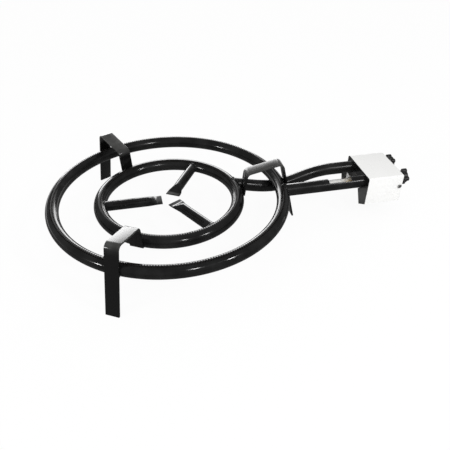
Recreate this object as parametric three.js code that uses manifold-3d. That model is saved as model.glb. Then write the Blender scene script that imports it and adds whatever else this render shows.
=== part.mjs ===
import * as THREE from 'three';
import { mergeVertices } from 'three/addons/utils/BufferGeometryUtils.js';
import Module from 'manifold-3d';

// Twin ring gas burner for wide shallow pans. Two hollow rings hang from three bent
// pan supports, each ring has its own feed tube, and two push-and-turn taps sit on
// a gas rail under a bent sheet cover. Millimetres, +Z up, floor at z = 0. The
// pieces are placed from the ring axis, with +X running along the feed tubes.

// Rings and the tube they share with the feed tubes
const outerRingDiameter = 400;
const innerRingDiameter = 250;
const tubeDiameter = 21;
const tubeWall = 1.5;
const ringHeight = 67;
const innerRingDrop = 7.5;

// Gaps: a weld line, a loose fit, and the overrun of a cutting tool
const weldGap = 0.3;
const fitGap = 0.3;
const cutOverrun = 2;

// Spokes with crimped ends, from the inner ring towards its middle
const spokeDiameter = 13;
const spokeWall = 1;
const spokeTipRadius = 13;
const crimpFlat = 6;
const crimpTaper = 18;

// Pan supports, bent from one flat bar each
const supportWidth = 22;
const supportThickness = 3;
const supportBend = 8.5;
const supportTop = 109;
const supportReach = 4;
const legSplay = THREE.MathUtils.degToRad(13.2);
const restSlope = THREE.MathUtils.degToRad(12.4);
const reachLean = THREE.MathUtils.degToRad(7);

// Feed tubes and their air windows
const feedInset = 8;
const dipFlat = 32;
const dipFall = 58;
const dipRise = 68;
const dipBend = 24;
const windowSetback = 34.5;
const windowLength = 41;
const windowDepth = 5;
const nearWindowTurn = THREE.MathUtils.degToRad(-13);
const farWindowTurn = THREE.MathUtils.degToRad(-95);

// Sheet cover over the taps
const coverStart = 338.5;
const coverLength = 66;
const coverWidth = 85;
const coverHeight = 51.5;
const coverRise = 13.5;
const coverWall = 1.5;
const coverBend = 2.5;

// Plate round the tubes in front of the cover, with an ear at each side
const plateThickness = 1.5;
const plateGap = 0.3;
const plateBelow = 20;
const earTopLength = 16;
const earBottomLength = 9.8;
const earTopDrop = 7;
const earRootRise = 3;
const earTurn = THREE.MathUtils.degToRad(26);

// Gas taps
const tapGap = 0.3;
const tapNeckRadius = 7;
const tapNeckLength = 8;
const tapBarrelRadius = 9.8;
const tapBarrelLength = 26;
const tapFlangeLength = 4;
const tapFlangeWidth = 28;
const tapFlangeHeight = 21;
const tapSideGap = 1.5;
const plugSmallRadius = 5.2;
const plugLargeRadius = 7.2;
const plugSeatDepth = 25;
const plugWayRadius = 2.4;
const plugCounterboreRadius = 5.1;
const plugCounterboreDepth = 7.2;
const plugSlotWidth = 3.6;
const plugSlotDepth = 13;
const gasWayRadius = 2.6;
const bonnetThickness = 3;
const bonnetScrewOffset = 10.1;

// Injectors, screwed to the taps and reaching into the feed tubes
const injectorCollarRadius = 8;
const injectorCollarLength = 3;
const injectorStemRadius = 5;
const injectorStemLength = 26;
const injectorTipRadius = 2.6;
const injectorTipLength = 17.5;
const injectorJetRadius = 0.9;

// Spindles and knobs
const spindleRadius = 3;
const spindleCollarRadius = 4.6;
const spindleCollarLength = 3.2;
const tongueThickness = 2.8;
const tongueLength = 5;
const knobTravel = 3;
const knobRadius = 10.8;
const knobReach = 14.8;
const knobLobeRadius = 3.8;
const knobLobeCount = 4;
const knobLength = 8.6;
const knobSocketDepth = 6.4;
const knobEdge = 1.2;
const nearKnobTurn = THREE.MathUtils.degToRad(-8);
const farKnobTurn = THREE.MathUtils.degToRad(48);

// Gas rail under the taps, its plug and its hose nozzle
const railDiameter = 16;
const railWall = 2;
const railDrop = 24.5;
const railEndGap = 4;
const railTapRadius = 5.6;
const railPlugLength = 3.2;
const railSpigotLength = 8;
const nozzleHexAcross = 17;
const nozzleHexLength = 8;
const nozzleNeckRadius = 6.5;
const nozzleBarbRadius = 5;
const nozzleBarbLength = 7;
const nozzleBarbCount = 4;
const nozzleBarbStep = 0.9;
const nozzleBore = 6;

// Rear bracket that joins the taps to the cover
const bracketThickness = 1.6;
const bracketBelow = 13;
const bracketAbove = 10;
const bracketEarLength = 10;

// Screws
const coverScrewRadius = 2;
const coverScrewLength = 6;
const coverScrewHeadRadius = 3.8;
const coverScrewHeadLength = 2.2;
const coverScrewDrop = 8;
const coverScrewInset = 6;
const bonnetScrewRadius = 1.4;
const bonnetScrewLength = 11;
const bonnetScrewHeadRadius = 2.4;
const bonnetScrewHeadLength = 2;
const screwRimShare = 0.45;
const screwCrownShare = 0.6;

// Facets
const ringSides = 16;
const boreSides = 8;
const outerRingSteps = 60;
const innerRingSteps = 48;
const roundSides = 16;
const knobSides = 20;
const lobeSides = 12;
const smallSides = 8;
const bendSteps = 5;
const feedSteps = 24;

// Derived sizes
const tubeRadius = tubeDiameter / 2;
const tubeBore = tubeRadius - tubeWall;
const outerRadius = (outerRingDiameter - tubeDiameter) / 2;
const innerRadius = (innerRingDiameter - tubeDiameter) / 2;
const innerHeight = ringHeight - innerRingDrop;
const coverInnerHalf = coverWidth / 2 - coverWall;
const farY = coverInnerHalf - tapSideGap - tapFlangeWidth / 2;
const nearY = -farY;
const crossingHeight = ringHeight - tubeDiameter - weldGap;
const feedEnd = coverStart + feedInset;
const coverEnd = coverStart + coverLength;
const coverTop = ringHeight + coverRise;
const coverBottom = coverTop - coverHeight;
const plateStart = coverStart - plateGap - plateThickness;
const collarStart = feedEnd + fitGap;
const tapStart = collarStart + injectorCollarLength + tapGap;
const barrelStart = tapStart + tapNeckLength;
const flangeStart = barrelStart + tapBarrelLength;
const tapEnd = flangeStart + tapFlangeLength;
const plugStart = tapEnd - plugSeatDepth;
const bonnetStart = tapEnd + tapGap;
const bonnetEnd = bonnetStart + bonnetThickness;
const bracketStart = bonnetEnd + tapGap;
const bracketEnd = bracketStart + bracketThickness;
const knobStart = coverEnd + knobTravel + fitGap * 3;
const knobEnd = knobStart + knobLength;
const railX = barrelStart + tapBarrelLength / 2;
const railHeight = ringHeight - railDrop;
const railRadius = railDiameter / 2;
const railBore = railRadius - railWall;
const railHalfLength = coverInnerHalf - railEndGap;

const wasm = await Module();
wasm.setup();

// Looks.

const enamel = () => new THREE.MeshStandardMaterial({ color: 0x151515, roughness: 0.2, metalness: 0.1 });
const sheet = () => new THREE.MeshStandardMaterial({ color: 0xe6e6e4, roughness: 0.35, metalness: 0.3 });
const brass = () => new THREE.MeshStandardMaterial({ color: 0xb99a4e, roughness: 0.35, metalness: 0.9 });
const steel = () => new THREE.MeshStandardMaterial({ color: 0xb4b4b2, roughness: 0.35, metalness: 0.9 });
const zinc = () => new THREE.MeshStandardMaterial({ color: 0x9b9c9a, roughness: 0.45, metalness: 0.8 });
const plastic = () => new THREE.MeshStandardMaterial({ color: 0x101010, roughness: 0.4, metalness: 0 });

// Solids.

function solidOf(geometry) {
  const bare = geometry.clone();
  bare.deleteAttribute('normal');
  bare.deleteAttribute('uv');
  const merged = mergeVertices(bare);
  return new wasm.Manifold(new wasm.Mesh({
    numProp: 3,
    vertProperties: new Float32Array(merged.attributes.position.array),
    triVerts: new Uint32Array(merged.index.array),
  }));
}

function geometryOf(solid) {
  const { vertProperties, triVerts } = solid.getMesh();
  const geometry = new THREE.BufferGeometry();
  geometry.setAttribute('position', new THREE.BufferAttribute(new Float32Array(vertProperties), 3));
  geometry.setIndex(new THREE.BufferAttribute(new Uint32Array(triVerts), 1));
  geometry.computeVertexNormals();
  return geometry;
}

// One geometry with others added to it and others cut out of it.
function shaped(base, { add = [], cut = [] }) {
  let solid = solidOf(base);
  for (const geometry of add) {
    solid = solid.add(solidOf(geometry));
  }
  for (const geometry of cut) {
    solid = solid.subtract(solidOf(geometry));
  }
  return geometryOf(solid);
}

// Outlines.

// A regular outline with a flat side at each end of its axes.
function circlePoints(radius, sides, x = 0, y = 0) {
  const turn = 2 * Math.PI / sides;
  return Array.from({ length: sides }, (_, i) => {
    const angle = (i + 1 / 2) * turn;
    return new THREE.Vector2(x + radius * Math.cos(angle), y + radius * Math.sin(angle));
  });
}

// The radius of a regular hole whose sides clear a round piece by a gap.
const holeRadius = (radius, gap, sides) => (radius + gap) / Math.cos(Math.PI / sides);

const shapeOf = (points) => new THREE.Shape(points);

function withHoles(shape, outlines) {
  shape.holes.push(...outlines.map((points) => new THREE.Path(points)));
  return shape;
}

// Points and side normals along a line of corners, with each corner bent to a radius.
function bentRun(corners, radius) {
  const run = [];
  const put = (point, along) => run.push({ point, side: new THREE.Vector2(-along.y, along.x) });
  const step = (i) => corners[i + 1].clone().sub(corners[i]).normalize();
  put(corners[0].clone(), step(0));
  for (let i = 1; i < corners.length - 1; i += 1) {
    const before = step(i - 1);
    const after = step(i);
    const turn = Math.atan2(before.cross(after), before.dot(after));
    const cutBack = radius * Math.tan(Math.abs(turn) / 2);
    const start = corners[i].clone().addScaledVector(before, -cutBack);
    const toCentre = new THREE.Vector2(-before.y, before.x).multiplyScalar(radius * Math.sign(turn));
    const centre = start.clone().add(toCentre);
    for (let k = 0; k <= bendSteps; k += 1) {
      const angle = turn * k / bendSteps;
      const spoke = toCentre.clone().negate().rotateAround(new THREE.Vector2(), angle);
      put(centre.clone().add(spoke), before.clone().rotateAround(new THREE.Vector2(), angle));
    }
  }
  put(corners[corners.length - 1].clone(), step(corners.length - 2));
  return run;
}

// The outline of a strip of a thickness along a bent run. A level trims its first end
// to a height instead of square.
function stripPoints(run, thickness, level = null) {
  const offset = (entry, share) => entry.point.clone().addScaledVector(entry.side, thickness * share);
  const edges = [1 / 2, -1 / 2].map((share) => run.map((entry) => offset(entry, share)));
  if (level !== null) {
    const along = run[1].point.clone().sub(run[0].point);
    for (const edge of edges) {
      edge[0].addScaledVector(along, (level - edge[0].y) / along.y);
    }
  }
  return [...edges[0], ...edges[1].reverse()];
}

// Forms.

// Turned pieces: [radius, position] pairs along +X, from small x to large x.
function turned(profile, sides) {
  const points = profile.map(([radius, x]) => new THREE.Vector2(radius, x));
  const geometry = new THREE.LatheGeometry(points, sides);
  geometry.rotateY(Math.PI / sides);
  geometry.rotateZ(-Math.PI / 2);
  return geometry;
}

function rodX(radius, from, to, sides, y = 0, z = 0) {
  const geometry = turned([[0, from], [radius, from], [radius, to], [0, to]], sides);
  return geometry.translate(0, y, z);
}

function rodY(radius, from, to, sides, x = 0, z = 0) {
  return rodX(radius, from, to, sides).rotateZ(Math.PI / 2).translate(x, 0, z);
}

function rodZ(radius, from, to, sides, x = 0, y = 0) {
  return rodX(radius, from, to, sides).rotateY(-Math.PI / 2).translate(x, y, 0);
}

function box(x0, x1, y0, y1, z0, z1) {
  const geometry = new THREE.BoxGeometry(x1 - x0, y1 - y0, z1 - z0);
  return geometry.translate((x0 + x1) / 2, (y0 + y1) / 2, (z0 + z1) / 2);
}

// A flat outline in the y-z plane, thickened along +X.
function alongX(shape, from, to) {
  const geometry = new THREE.ExtrudeGeometry(shape, { depth: to - from, bevelEnabled: false });
  const axes = [[0, 1, 0], [0, 0, 1], [1, 0, 0]].map((axis) => new THREE.Vector3(...axis));
  geometry.applyMatrix4(new THREE.Matrix4().makeBasis(...axes));
  return geometry.translate(from, 0, 0);
}

// A flat outline in the x-y plane, thickened along +Z.
function alongZ(shape, from, to) {
  const geometry = new THREE.ExtrudeGeometry(shape, { depth: to - from, bevelEnabled: false });
  return geometry.translate(0, 0, from);
}

// A pipe or a rod along a curve.
function alongCurve(outlines, curve, steps) {
  const shape = withHoles(shapeOf(outlines[0]), outlines.slice(1));
  return new THREE.ExtrudeGeometry(shape, { steps, extrudePath: curve, bevelEnabled: false });
}

const torus = (radius, tube, sides, steps) => new THREE.TorusGeometry(radius, tube, sides, steps);

// Rings.

// A hole through one side of a ring's tube, for a pipe that runs straight in or out.
function ringWay(radius, { bore, angle, offset, outward }) {
  const middle = Math.sqrt(radius ** 2 - offset ** 2);
  const reach = tubeRadius + cutOverrun;
  const [from, to] = outward ? [middle, middle + reach] : [middle - reach, middle];
  return rodX(bore, from, to, smallSides, offset).rotateZ(angle);
}

function ring(radius, steps, ways) {
  const hollow = torus(radius, tubeBore, boreSides, steps);
  const cut = [hollow, ...ways.map((way) => ringWay(radius, way))];
  return shaped(torus(radius, tubeRadius, ringSides, steps), { cut });
}

function outerRing() {
  return ring(outerRadius, outerRingSteps, [
    { bore: tubeBore, angle: 0, offset: nearY, outward: true },
  ]);
}

const spokeAngles = [60, 180, 300].map(THREE.MathUtils.degToRad);

function innerRing() {
  const bore = spokeDiameter / 2 - spokeWall;
  return ring(innerRadius, innerRingSteps, [
    { bore: tubeBore, angle: 0, offset: farY, outward: true },
    ...spokeAngles.map((angle) => ({ bore, angle, offset: 0, outward: false })),
  ]);
}

// Spokes.

// A tube that is squeezed flat towards one end. Each section keeps the tube's girth.
function crimpedTube(radius, flatHalf, stations) {
  const half = ringSides / 2;
  const sections = stations.map(({ x, share }) => {
    const thick = radius + (flatHalf - radius) * share;
    const wide = thick + Math.PI * (radius - thick) / 2;
    return Array.from({ length: ringSides }, (_, i) => {
      const end = i < half ? 1 : -1;
      const angle = ((i % half) + 1 / 2) * Math.PI / half - Math.PI / 2;
      const across = (wide - thick) + thick * Math.cos(angle);
      return new THREE.Vector3(x, end * across, end * thick * Math.sin(angle));
    });
  });
  return lofted(sections);
}

// A closed skin over matching sections, each wound anticlockwise seen from +X.
function lofted(sections) {
  const count = sections[0].length;
  const middleOf = (section) => section
    .reduce((sum, point) => sum.add(point), new THREE.Vector3())
    .divideScalar(section.length);
  const points = [...sections.flat(), middleOf(sections[0]), middleOf(sections.at(-1))];
  const firstMiddle = points.length - 2;
  const lastMiddle = points.length - 1;
  const lastStart = (sections.length - 1) * count;
  const faces = [];
  for (let i = 0; i < count; i += 1) {
    const next = (i + 1) % count;
    faces.push(firstMiddle, next, i);
    faces.push(lastMiddle, lastStart + i, lastStart + next);
    for (let k = 0; k < sections.length - 1; k += 1) {
      const low = k * count;
      const high = low + count;
      faces.push(low + i, low + next, high + next);
      faces.push(low + i, high + next, high + i);
    }
  }
  const geometry = new THREE.BufferGeometry().setFromPoints(points);
  geometry.setIndex(faces);
  return geometry;
}

function spoke() {
  const radius = spokeDiameter / 2;
  const crimpEnd = spokeTipRadius + crimpFlat;
  const taperShares = [1, 0.93, 0.75, 0.5, 0.25, 0.07, 0];
  const taper = taperShares.map((share, i) => (
    { x: crimpEnd + crimpTaper * i / (taperShares.length - 1), share }
  ));
  const outside = [{ x: spokeTipRadius, share: 1 }, ...taper, { x: innerRadius, share: 0 }];
  const inside = taper.slice(2).concat({ x: innerRadius + cutOverrun, share: 0 });
  const skin = crimpedTube(radius, spokeWall, outside);
  const bore = crimpedTube(radius - spokeWall, spokeWall / 2, inside);
  const ring = torus(innerRadius, tubeRadius + weldGap, ringSides, innerRingSteps);
  return shaped(skin, { cut: [bore, ring] });
}

// Pan supports.

const meet = (p, d, q, e) => p.clone().addScaledVector(d, q.clone().sub(p).cross(e) / d.cross(e));

// The middle line of the bent bar, in a plane of (distance from the ring axis, height).
function supportCorners() {
  const stand = tubeRadius + weldGap + supportThickness / 2;
  const legDown = new THREE.Vector2(Math.sin(legSplay), -Math.cos(legSplay));
  const legOut = new THREE.Vector2(Math.cos(legSplay), Math.sin(legSplay));
  const onLeg = new THREE.Vector2(outerRadius, ringHeight).addScaledVector(legOut, stand);
  const reachDown = new THREE.Vector2(-Math.sin(reachLean), -Math.cos(reachLean));
  const reachOut = new THREE.Vector2(Math.cos(reachLean), -Math.sin(reachLean));
  const onReach = new THREE.Vector2(innerRadius, innerHeight).addScaledVector(reachOut, stand);
  const bendCentreHeight = supportTop - supportBend - supportThickness / 2;
  const bendCentre = onLeg.clone().addScaledVector(legOut, -supportBend);
  bendCentre.addScaledVector(legDown, (bendCentreHeight - bendCentre.y) / legDown.y);
  const restAlong = new THREE.Vector2(Math.cos(restSlope), Math.sin(restSlope));
  const restUp = new THREE.Vector2(-Math.sin(restSlope), Math.cos(restSlope));
  const onRest = bendCentre.clone().addScaledVector(restUp, supportBend);
  const foot = meet(onLeg, legDown, new THREE.Vector2(), new THREE.Vector2(1, 0));
  const end = new THREE.Vector2(0, innerHeight - supportReach);
  return [
    foot,
    meet(onLeg, legDown, onRest, restAlong),
    meet(onReach, reachDown, onRest, restAlong),
    meet(onReach, reachDown, end, new THREE.Vector2(1, 0)),
  ];
}

function support() {
  const outline = stripPoints(bentRun(supportCorners(), supportBend), supportThickness, 0);
  const geometry = alongZ(shapeOf(outline), -supportWidth / 2, supportWidth / 2);
  return geometry.rotateX(Math.PI / 2);
}

// Feed tubes.

// Both feed tubes start inside the tube of their ring and are cut to its outside.
function feedStart(radius, y) {
  return Math.sqrt(radius ** 2 - y ** 2);
}

// A slot across the top of a feed tube, rolled about the tube's own axis.
function windowCut(y, turn) {
  const end = feedEnd - windowSetback;
  const cut = box(end - windowLength, end, -tubeDiameter, tubeDiameter,
    tubeRadius - windowDepth, tubeDiameter);
  return cut.rotateX(turn).translate(0, y, ringHeight);
}

function outerFeed() {
  const bore = circlePoints(tubeBore, boreSides);
  const shape = withHoles(shapeOf(circlePoints(tubeRadius, ringSides)), [bore]);
  const pipe = alongX(shape, feedStart(outerRadius, nearY), feedEnd).translate(0, nearY, ringHeight);
  const ring = torus(outerRadius, tubeRadius + weldGap, ringSides, outerRingSteps);
  ring.translate(0, 0, ringHeight);
  return shaped(pipe, { cut: [ring, windowCut(nearY, nearWindowTurn)] });
}

// The inner ring's feed tube dips under the outer ring and rises again beside the other.
function dipCurve() {
  const crossing = feedStart(outerRadius, farY);
  const dipStart = crossing - dipFlat / 2;
  const dipEnd = crossing + dipFlat / 2;
  const points = [
    [feedStart(innerRadius, farY), innerHeight],
    [dipStart - dipFall, innerHeight],
    [dipStart, crossingHeight],
    [dipEnd, crossingHeight],
    [dipEnd + dipRise, ringHeight],
    [feedEnd, ringHeight],
  ].map(([x, z]) => new THREE.Vector3(x, farY, z));
  const curve = new THREE.CurvePath();
  let last = points[0];
  for (let i = 1; i < points.length - 1; i += 1) {
    const reach = (a, b) => Math.min(dipBend, a.distanceTo(b) / 2);
    const into = points[i].clone().lerp(points[i - 1], reach(points[i], points[i - 1])
      / points[i].distanceTo(points[i - 1]));
    const out = points[i].clone().lerp(points[i + 1], reach(points[i], points[i + 1])
      / points[i].distanceTo(points[i + 1]));
    if (last.distanceTo(into) > 0) {
      curve.add(new THREE.LineCurve3(last, into));
    }
    curve.add(new THREE.QuadraticBezierCurve3(into, points[i], out));
    last = out;
  }
  curve.add(new THREE.LineCurve3(last, points.at(-1)));
  return curve;
}

function innerFeed() {
  const outlines = [circlePoints(tubeRadius, ringSides), circlePoints(tubeBore, boreSides)];
  const pipe = alongCurve(outlines, dipCurve(), feedSteps);
  const ring = torus(innerRadius, tubeRadius + weldGap, ringSides, innerRingSteps);
  ring.translate(0, 0, innerHeight);
  return shaped(pipe, { cut: [ring, windowCut(farY, farWindowTurn)] });
}

// Cover and plates.

function cover() {
  const half = (coverWidth - coverWall) / 2;
  const top = coverTop - coverWall / 2;
  const corners = [[-half, coverBottom], [-half, top], [half, top], [half, coverBottom]]
    .map(([y, z]) => new THREE.Vector2(y, z));
  const skin = alongX(shapeOf(stripPoints(bentRun(corners, coverBend), coverWall)), coverStart, coverEnd);
  const backWidth = coverInnerHalf + coverWall / 2;
  const back = box(coverEnd - coverWall, coverEnd, -backWidth, backWidth, coverBottom, top);
  const spindleHoles = [nearY, farY].map((y) => (
    rodX(spindleRadius + knobTravel / 2, coverEnd - coverWall - cutOverrun, coverEnd + cutOverrun,
      roundSides, y, ringHeight)
  ));
  const nozzleHole = rodY(holeRadius(nozzleNeckRadius, fitGap * 2, roundSides),
    coverInnerHalf - cutOverrun, coverWidth / 2 + cutOverrun, roundSides, railX, railHeight);
  const screwHoles = [-1, 1].map((side) => {
    const edges = [coverInnerHalf - cutOverrun, coverWidth / 2 + cutOverrun].map((y) => y * side);
    return rodY(holeRadius(coverScrewRadius, fitGap, smallSides), Math.min(...edges),
      Math.max(...edges), smallSides, coverEnd - coverScrewInset, ringHeight - coverScrewDrop);
  });
  return shaped(skin, {
    add: [back],
    cut: [...spindleHoles, nozzleHole, ...screwHoles],
  });
}

// A plate round the feed tubes, as wide as the cover, whose sides reach forward as ears.
function tubePlate() {
  const half = coverWidth / 2;
  const low = ringHeight - plateBelow;
  const outline = [
    [-half, low], [half, low], [half, coverTop - coverBend], [half - coverBend, coverTop],
    [coverBend - half, coverTop], [-half, coverTop - coverBend],
  ].map(([y, z]) => new THREE.Vector2(y, z));
  const holes = [nearY, farY].map((y) => circlePoints(tubeRadius + fitGap, ringSides, y, ringHeight));
  const web = alongX(withHoles(shapeOf(outline), holes), plateStart, plateStart + plateThickness);
  return shaped(web, { add: [plateEar(-1), plateEar(1)] });
}

// A tapered ear that turns in from a side edge of the plate to the feed tube.
function plateEar(side) {
  const top = ringHeight - earTopDrop;
  const outline = [
    [-plateThickness / 2, coverBottom],
    [earBottomLength, coverBottom],
    [earTopLength, top],
    [-plateThickness / 2, top + earRootRise],
  ].map(([x, z]) => new THREE.Vector2(x, z));
  const geometry = alongZ(shapeOf(outline), -plateThickness / 2, plateThickness / 2);
  geometry.rotateX(Math.PI / 2);
  geometry.rotateZ(Math.PI + side * earTurn);
  const root = plateStart + plateThickness / 2;
  return geometry.translate(root, side * (coverWidth - plateThickness) / 2, 0);
}

// A plate behind the taps with an ear along each side wall of the cover.
function tapBracket() {
  const half = coverInnerHalf - fitGap - bracketThickness / 2;
  const plateX = bracketStart + bracketThickness / 2;
  const tip = plateX + bracketEarLength;
  const corners = [[tip, -half], [plateX, -half], [plateX, half], [tip, half]]
    .map(([x, y]) => new THREE.Vector2(x, y));
  const run = bentRun(corners, bracketThickness);
  const plate = alongZ(shapeOf(stripPoints(run, bracketThickness)),
    ringHeight - bracketBelow, ringHeight + bracketAbove);
  const reach = [bracketStart - cutOverrun, bracketEnd + cutOverrun];
  const cuts = [nearY, farY].flatMap((y) => [
    rodX(spindleRadius + fitGap * 2, ...reach, roundSides, y, ringHeight),
    ...bonnetScrewPlaces(y).map((screwY) => (
      rodX(holeRadius(bonnetScrewRadius, fitGap, smallSides), ...reach, smallSides, screwY, ringHeight)
    )),
  ]);
  for (const side of [-1, 1]) {
    const edges = [coverInnerHalf - bracketThickness - cutOverrun, coverInnerHalf]
      .map((y) => y * side);
    cuts.push(rodY(holeRadius(coverScrewRadius, fitGap, smallSides), Math.min(...edges),
      Math.max(...edges), smallSides, coverEnd - coverScrewInset, ringHeight - coverScrewDrop));
  }
  return shaped(plate, { cut: cuts });
}

// Taps.

const bonnetScrewPlaces = (y) => [y - bonnetScrewOffset, y + bonnetScrewOffset];

// An oval flange round the tap's axis, wide enough for a screw at each end.
function flangeShape() {
  const scale = new THREE.Vector2(tapFlangeWidth / 2, tapFlangeHeight / 2);
  return circlePoints(1, roundSides).map((point) => point.multiply(scale));
}

function screwCuts(from, to, y) {
  return bonnetScrewPlaces(y).map((screwY) => (
    rodX(holeRadius(bonnetScrewRadius, fitGap, smallSides), from, to, smallSides, screwY, ringHeight)
  ));
}

function tapBody(y) {
  const outside = turned([
    [0, tapStart], [tapNeckRadius, tapStart], [tapNeckRadius, barrelStart],
    [tapBarrelRadius, barrelStart], [tapBarrelRadius, tapEnd], [0, tapEnd],
  ], roundSides).translate(0, y, ringHeight);
  const flange = alongX(shapeOf(flangeShape()), flangeStart, tapEnd).translate(0, y, ringHeight);
  const stub = rodZ(railTapRadius, railHeight, ringHeight, roundSides, railX, y);
  const seatEnd = tapEnd + cutOverrun;
  const slope = (plugLargeRadius - plugSmallRadius) / plugSeatDepth;
  const large = holeRadius(plugLargeRadius + slope * cutOverrun, fitGap / 2, roundSides);
  const small = holeRadius(plugSmallRadius, fitGap / 2, roundSides);
  const seat = turned([[0, plugStart - fitGap], [small, plugStart - fitGap], [large, seatEnd], [0, seatEnd]],
    roundSides).translate(0, y, ringHeight);
  const outlet = rodX(gasWayRadius, tapStart - cutOverrun, plugStart, smallSides, y, ringHeight);
  const inlet = rodZ(gasWayRadius, railHeight, ringHeight, smallSides, railX, y);
  const rail = rodY(railRadius + weldGap, -railHalfLength, railHalfLength, roundSides, railX, railHeight);
  return shaped(outside, {
    add: [flange, stub],
    cut: [seat, outlet, inlet, rail, ...screwCuts(flangeStart - cutOverrun, seatEnd, y)],
  });
}

// The tapered plug that shuts or opens the way from the rail to the outlet.
function tapPlug(y) {
  const cone = turned([
    [0, plugStart], [plugSmallRadius, plugStart], [plugLargeRadius, tapEnd - fitGap / 2],
    [0, tapEnd - fitGap / 2],
  ], roundSides);
  const back = tapEnd + cutOverrun;
  const counterbore = rodX(plugCounterboreRadius, tapEnd - plugCounterboreDepth, back, roundSides);
  const slot = box(tapEnd - plugSlotDepth, back, -plugSlotWidth / 2, plugSlotWidth / 2,
    -plugCounterboreRadius, plugCounterboreRadius);
  const way = rodX(plugWayRadius, plugStart - cutOverrun, railX - plugWayRadius, smallSides);
  const side = rodY(plugWayRadius, 0, plugLargeRadius + cutOverrun, smallSides,
    plugStart + plugWayRadius + tubeWall);
  return shaped(cone, { cut: [counterbore, slot, way, side] }).translate(0, y, ringHeight);
}

function bonnet(y) {
  const plate = alongX(shapeOf(flangeShape()), bonnetStart, bonnetEnd).translate(0, y, ringHeight);
  const back = bonnetEnd + cutOverrun;
  const hole = rodX(spindleRadius + fitGap * 2, bonnetStart - cutOverrun, back, roundSides, y, ringHeight);
  return shaped(plate, { cut: [hole, ...screwCuts(bonnetStart - cutOverrun, back, y)] });
}

function injector(y) {
  const stemStart = collarStart - fitGap - injectorStemLength;
  const tipStart = stemStart - injectorTipLength;
  const end = collarStart + injectorCollarLength;
  const spud = turned([
    [0, tipStart], [injectorTipRadius, tipStart], [injectorStemRadius, stemStart],
    [injectorStemRadius, collarStart], [0, collarStart],
  ], roundSides);
  const collar = rodX(injectorCollarRadius, collarStart, end, ringSides / 2 - 2);
  const jet = rodX(injectorJetRadius, tipStart - cutOverrun, end + cutOverrun, smallSides / 2);
  return shaped(spud, { add: [collar], cut: [jet] }).translate(0, y, ringHeight);
}

function spindle(y) {
  const collarEnd = tapEnd;
  const collarBack = collarEnd - spindleCollarLength;
  const tip = knobStart + knobSocketDepth - fitGap;
  const stem = turned([
    [0, collarBack], [spindleCollarRadius, collarBack], [spindleCollarRadius, collarEnd],
    [spindleRadius, collarEnd], [spindleRadius, tip - knobEdge], [spindleRadius - knobEdge / 2, tip],
    [0, tip],
  ], roundSides);
  const tongue = box(collarBack - tongueLength, collarBack + knobEdge, -tongueThickness / 2,
    tongueThickness / 2, -spindleCollarRadius, spindleCollarRadius);
  const trim = turned([
    [spindleCollarRadius, collarBack - tongueLength - cutOverrun],
    [spindleCollarRadius * 2, collarBack - tongueLength - cutOverrun],
    [spindleCollarRadius * 2, collarEnd], [spindleCollarRadius, collarEnd],
    [spindleCollarRadius, collarBack - tongueLength - cutOverrun],
  ], roundSides);
  return shaped(stem, { add: [tongue], cut: [trim] }).translate(0, y, ringHeight);
}

// A round knob with four finger lobes and a socket for the spindle.
function knob(y, turn) {
  const edged = (radius, sides) => turned([
    [0, knobStart], [radius, knobStart], [radius, knobEnd - knobEdge],
    [radius - knobEdge, knobEnd], [0, knobEnd],
  ], sides);
  const lobes = Array.from({ length: knobLobeCount }, (_, i) => {
    const lobe = edged(knobLobeRadius, lobeSides).translate(0, knobReach - knobLobeRadius, 0);
    return lobe.rotateX(i * 2 * Math.PI / knobLobeCount);
  });
  const socket = rodX(holeRadius(spindleRadius, fitGap / 2, roundSides), knobStart - cutOverrun,
    knobStart + knobSocketDepth, roundSides);
  const grip = shaped(edged(knobRadius, knobSides), { add: lobes, cut: [socket] });
  return grip.rotateX(turn).translate(0, y, ringHeight);
}

// Gas rail.

function rail() {
  const pipe = rodY(railRadius, -railHalfLength, railHalfLength, roundSides, railX, railHeight);
  const bore = rodY(railBore, -railHalfLength - cutOverrun, railHalfLength + cutOverrun, roundSides,
    railX, railHeight);
  const ways = [nearY, farY].map((y) => (
    rodZ(gasWayRadius, railHeight, railHeight + railRadius + cutOverrun, smallSides, railX, y)
  ));
  return shaped(pipe, { cut: [bore, ...ways] });
}

const alongRail = (profile, sides) => (
  turned(profile, sides).rotateZ(Math.PI / 2).translate(railX, 0, railHeight)
);

function railPlug() {
  const head = -railHalfLength - fitGap;
  return alongRail([
    [0, head - railPlugLength], [railRadius, head - railPlugLength], [railRadius, head],
    [railBore - fitGap, head], [railBore - fitGap, head + railSpigotLength],
    [0, head + railSpigotLength],
  ], roundSides);
}

function hoseNozzle() {
  const start = railHalfLength + fitGap;
  const hexStart = coverWidth / 2 + fitGap;
  const hexEnd = hexStart + nozzleHexLength;
  const barbs = Array.from({ length: nozzleBarbCount }, (_, i) => {
    const x = hexEnd + i * nozzleBarbLength;
    return [
      [nozzleBarbRadius, x], [nozzleBarbRadius, x + nozzleBarbLength],
    ].map(([radius, at], k) => [radius + (k ? 0 : nozzleBarbStep), at]);
  }).flat();
  const end = hexEnd + nozzleBarbCount * nozzleBarbLength;
  const body = alongRail([
    [0, start - railSpigotLength], [railBore - fitGap, start - railSpigotLength],
    [railBore - fitGap, start], [nozzleNeckRadius, start], [nozzleNeckRadius, hexEnd],
    ...barbs, [0, end],
  ], roundSides);
  const hexRadius = nozzleHexAcross / 2 / Math.cos(Math.PI / 6);
  const hex = rodY(hexRadius, hexStart, hexEnd, 6, railX, railHeight);
  const bore = rodY(nozzleBore / 2, start - railSpigotLength - cutOverrun, end + cutOverrun,
    smallSides, railX, railHeight);
  return shaped(body, { add: [hex], cut: [bore] });
}

// Screws.

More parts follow.
